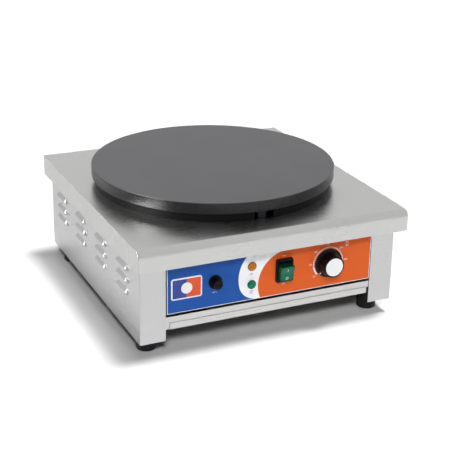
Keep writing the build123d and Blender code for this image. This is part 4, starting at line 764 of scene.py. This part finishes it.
def band(shape, centre, inner, outer, start, stop, steps):
    """Adds a flat arc between two radii, in the plane X and Z; angles in degrees."""
    rims = []
    for step in range(steps + 1):
        angle = radians(start + (stop - start) * step / steps)
        rims.append([
            shape.verts.new((centre[0] + r * cos(angle), 0, centre[1] + r * sin(angle)))
            for r in (inner, outer)
        ])
    for (a, b), (c, d) in zip(rims, rims[1:]):
        shape.faces.new((a, b, d, c))


def bar(shape, centre, width, height, angle=0.0):
    """Adds a flat rectangle turned by an angle in degrees, in the plane X and Z."""
    turn = radians(angle)
    corners = []
    for sx, sz in ((-1, -1), (1, -1), (1, 1), (-1, 1)):
        x, z = sx * width / 2, sz * height / 2
        corners.append(shape.verts.new((centre[0] + x * cos(turn) - z * sin(turn), 0,
                                        centre[1] + x * sin(turn) + z * cos(turn))))
    shape.faces.new(corners)


def mark(name, shape, finish, body):
    """Turns flat faces into a mesh that faces the front and rides on a body."""
    bmesh.ops.recalc_face_normals(shape, faces=shape.faces)
    for face in shape.faces:
        if face.normal.y > 0:
            face.normal_flip()
    mesh = bpy.data.meshes.new(name)
    shape.to_mesh(mesh)
    shape.free()
    place_piece(name, mesh, finish, body)


def print_on_film(name, shape, finish):
    """Moves flat faces to just in front of the film and turns them into ink."""
    bmesh.ops.translate(shape, verts=shape.verts, vec=(0, film_y - INK_LIFT, 0))
    mark(name, shape, finish, "root")


def print_words(name, words, centre, height, finish):
    """Prints words or numbers of that capital height on the film, centred on a point."""
    data = bpy.data.curves.new(name, "FONT")
    data.body = words
    data.size = height / CAPITAL_SHARE
    data.align_x = "CENTER"
    data.align_y = "CENTER"
    data.resolution_u = LETTER_STEPS
    holder = bpy.data.objects.new(name + "_text", data)
    bpy.context.scene.collection.objects.link(holder)
    mesh = bpy.data.meshes.new_from_object(holder)
    bpy.data.objects.remove(holder)
    mesh.name = name
    mesh.transform(Matrix.Rotation(radians(90), 4, "X"))
    mesh.transform(Matrix.Translation((centre[0], film_y - INK_LIFT, centre[1])))
    mesh.materials.clear()
    place_piece(name, mesh, finish, "root")


print("ink lies", round(INK_LIFT / MM, 2), "mm in front of the film")

# %% [markdown]
# ## The dial
#
# The scale runs 220 degrees clockwise round the knob, from 50 at the lower left to 300 at
# the right. It starts as a solid band and breaks up into dashes. The knob's pointer rests
# at 50.

# %% Dial scale and numbers
DIAL = (knob_centre.x, knob_centre.z)
BAND_INNER = 24.2 * MM
BAND_OUTER = 26.6 * MM
NUMBER_RADIUS = 31.2 * MM
NUMBER_HEIGHT = 2.9 * MM
# Angles in degrees, counted anticlockwise from the right.
SOLID_START = 222
SOLID_STOP = 189
DASHES_START = 186.0
DASH_PITCH = 7.0
DASH_SHARE = 0.5
SOLID_STEPS = 16
DASH_STEPS = 3
numbers = {"50": 220.8, "100": 178.6, "150": 137.3, "200": 92.0, "250": 44.0, "300": 1.0}

shape = bmesh.new()
band(shape, DIAL, BAND_INNER, BAND_OUTER, SOLID_START, SOLID_STOP, SOLID_STEPS)
angle = DASHES_START
while angle > 0:
    band(shape, DIAL, BAND_INNER, BAND_OUTER, angle, angle - DASH_SHARE * DASH_PITCH,
         DASH_STEPS)
    angle -= DASH_PITCH
print_on_film("dial_scale", shape, white_ink)
for words, angle in numbers.items():
    place = (DIAL[0] + NUMBER_RADIUS * cos(radians(angle)),
             DIAL[1] + NUMBER_RADIUS * sin(radians(angle)))
    print_words("dial_" + words, words, place, NUMBER_HEIGHT, white_ink)
print("numbers on the dial:", list(numbers))

# %% [markdown]
# ## Words and signs beside the switch and the lamps
#
# The switch is marked ON and OFF. The lamps, the fuse holder and the dial have small plain
# signs: three curls of heat, a flash in a ring, a fuse link and a framed thermometer. Each
# is built of bars and arcs, so a ring is an arc of 360 degrees, and a dot is a ring whose
# inner radius is next to nothing.

# %% Words and signs
WORD_HEIGHT = 2.6 * MM
WORD_ABOVE = 4.0 * MM
WORD_BELOW = 4.4 * MM
LAMP_SIGN_DROP = 5.2 * MM
FUSE_SIGN_DROP = 6.0 * MM
THERMOMETER_ASIDE = 32.1 * MM
THERMOMETER_ABOVE = 27.0 * MM
LINE = 0.4 * MM
RING_STEPS = 32
DOT_STEPS = 20
PINPOINT = 0.0001 * MM

bezel_low, bezel_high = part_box("switch_body")
bezel_middle = (bezel_low.x + bezel_high.x) / 2
print_words("word_on", "ON", (bezel_middle, bezel_high.z + WORD_ABOVE), WORD_HEIGHT, white_ink)
print_words("word_off", "OFF", (bezel_middle, bezel_low.z - WORD_BELOW), WORD_HEIGHT, white_ink)

amber_low, amber_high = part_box("lamp_lens_amber")
green_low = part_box("lamp_lens_green")[0]
lamp_x = (amber_low.x + amber_high.x) / 2

# Heat: three curls side by side, each of two half circles.
CURL_PITCH = 2 * MM
CURL_RADIUS = 0.9 * MM
CURL_STEPS = 8
shape = bmesh.new()
for curl in (-1, 0, 1):
    for turn, start in ((-1, 90), (1, 270)):
        middle = (lamp_x + curl * CURL_PITCH,
                  amber_low.z - LAMP_SIGN_DROP + turn * CURL_RADIUS)
        band(shape, middle, CURL_RADIUS - LINE / 2, CURL_RADIUS + LINE / 2,
             start, start - 180 * turn, CURL_STEPS)
print_on_film("sign_heat", shape, blue_ink)

# Mains: a flash of two slanted strokes and a level one, in a ring.
STROKE_LENGTH = 2.6 * MM
STROKE_WIDTH = 0.55 * MM
STROKE_SLANT = -28
STROKE_ASIDE = 0.5 * MM
STROKE_ABOVE = 1.0 * MM
LEVEL_STROKE = (2.4 * MM, 0.5 * MM)
shape = bmesh.new()
flash = (lamp_x, green_low.z - LAMP_SIGN_DROP)
for side in (1, -1):
    bar(shape, (flash[0] + side * STROKE_ASIDE, flash[1] + side * STROKE_ABOVE),
        STROKE_WIDTH, STROKE_LENGTH, STROKE_SLANT)
bar(shape, flash, *LEVEL_STROKE)
band(shape, flash, STROKE_LENGTH, STROKE_LENGTH + LINE, 0, 360, RING_STEPS)
print_on_film("sign_mains", shape, blue_ink)

# Fuse: a link drawn as a box with a lead at either end.
LINK_LENGTH = 5.6 * MM
LINK_HEIGHT = 2.0 * MM
LEAD_LENGTH = 1.6 * MM
holder_low, holder_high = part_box("fuse_holder")
fuse_sign = ((holder_low.x + holder_high.x) / 2, holder_low.z - FUSE_SIGN_DROP)
lead_aside = (LINK_LENGTH + LINE + LEAD_LENGTH) / 2
shape = bmesh.new()
for side in (-1, 1):
    bar(shape, (fuse_sign[0], fuse_sign[1] + side * LINK_HEIGHT / 2), LINK_LENGTH, LINE)
    bar(shape, (fuse_sign[0] + side * LINK_LENGTH / 2, fuse_sign[1]), LINE, LINK_HEIGHT + LINE)
    bar(shape, (fuse_sign[0] + side * lead_aside, fuse_sign[1]), LEAD_LENGTH, LINE)
print_on_film("sign_fuse", shape, white_ink)

# Warmth: a thermometer of a stem and a bulb, framed by two arcs and two bars.
STEM = (0.5 * MM, 5.0 * MM)
STEM_ABOVE = 1.2 * MM
BULB_RADIUS = 1.3 * MM
BULB_BELOW = 2.4 * MM
FRAME_RADII = (3.6 * MM, 4.1 * MM)
FRAME_BELOW = 0.2 * MM
FRAME_ASIDE = 3.0 * MM
FRAME_HEIGHT = 6.0 * MM
ARC_START = 50
ARC_STOP = 130
ARC_STEPS = 10
warmth = (DIAL[0] + THERMOMETER_ASIDE, DIAL[1] + THERMOMETER_ABOVE)
shape = bmesh.new()
bar(shape, (warmth[0], warmth[1] + STEM_ABOVE), *STEM)
band(shape, (warmth[0], warmth[1] - BULB_BELOW), PINPOINT, BULB_RADIUS, 0, 360, DOT_STEPS)
for side in (-1, 1):
    band(shape, (warmth[0], warmth[1] - FRAME_BELOW), *FRAME_RADII,
         side * ARC_START, side * ARC_STOP, ARC_STEPS)
    bar(shape, (warmth[0] + side * FRAME_ASIDE, warmth[1]), LINE, FRAME_HEIGHT)
print_on_film("sign_warmth", shape, white_ink)
print("signs drawn: heat, mains, fuse, warmth")

# %% [markdown]
# ## Marks that move
#
# The knob has a white pointer line on its skirt and another on its barrel, and the rocker
# has I and O moulded in and filled with white. They lie on slanted faces, so each is placed
# by sending a ray from the front to the piece: it says where the surface is, and which way
# it faces.

# %% Pointer lines and rocker marks
WELL_IN_FRONT = -1.0


def front_of(node, x, z):
    """The point of a piece's front surface at that X and Z, and the surface's normal."""
    start = Vector((x, WELL_IN_FRONT, z))
    hit, place, normal, _ = nodes[node].ray_cast(start, Vector((0, 1, 0)))
    if not hit:
        raise ValueError(f"nothing of {node} at {x}, {z}")
    return place, normal


def lie_on(shape, node, x, z, turn=0.0):
    """Moves a flat shape made in X and Z onto a piece's front surface at that spot."""
    place, normal = front_of(node, x, z)
    out = normal.normalized()
    side = Vector((0, 0, 1)).cross(out).normalized()
    side = side if side.x > 0 else -side
    rise = side.cross(out)
    rise = rise if rise.z > 0 else -rise
    basis = Matrix((side, -out, rise)).transposed().to_4x4()
    spin = Matrix.Rotation(radians(turn), 4, "Y")
    moved = Matrix.Translation(place + out * INK_LIFT) @ basis @ spin
    bmesh.ops.transform(shape, matrix=moved, verts=shape.verts)


POINTER_ANGLE = radians(225)
POINTER_TURN = -45
POINTER_WIDTH = 1.3 * MM
for name, radius, length in (("pointer_skirt", 21.2 * MM, 3.2 * MM),
                             ("pointer_barrel", 17.9 * MM, 1.4 * MM)):
    shape = bmesh.new()
    bar(shape, (0, 0), length, POINTER_WIDTH)
    lie_on(shape, "knob", DIAL[0] + radius * cos(POINTER_ANGLE),
           DIAL[1] + radius * sin(POINTER_ANGLE), POINTER_TURN)
    mark(name, shape, white_ink, "knob")

I_WIDTH = 0.9 * MM
I_HEIGHT = 4.2 * MM
I_ABOVE = 6.0 * MM
O_RADII = (1.6 * MM, 2.3 * MM)
O_BELOW = 8.0 * MM
rocker_low, rocker_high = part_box("switch_rocker")
rocker_middle = (rocker_low.x + rocker_high.x) / 2
rocker_centre = (rocker_low.z + rocker_high.z) / 2
shape = bmesh.new()
bar(shape, (0, 0), I_WIDTH, I_HEIGHT)
lie_on(shape, "switch_rocker", rocker_middle, rocker_centre + I_ABOVE)
mark("rocker_i", shape, white_ink, "rocker")
shape = bmesh.new()
band(shape, (0, 0), *O_RADII, 0, 360, RING_STEPS)
lie_on(shape, "switch_rocker", rocker_middle, rocker_centre - O_BELOW)
mark("rocker_o", shape, white_ink, "rocker")
print("pointer and rocker marks placed")

# %% [markdown]
# ## The view transform
#
# The picture keeps the Standard view transform.

# %% View transform
bpy.context.scene.view_settings.view_transform = "Standard"
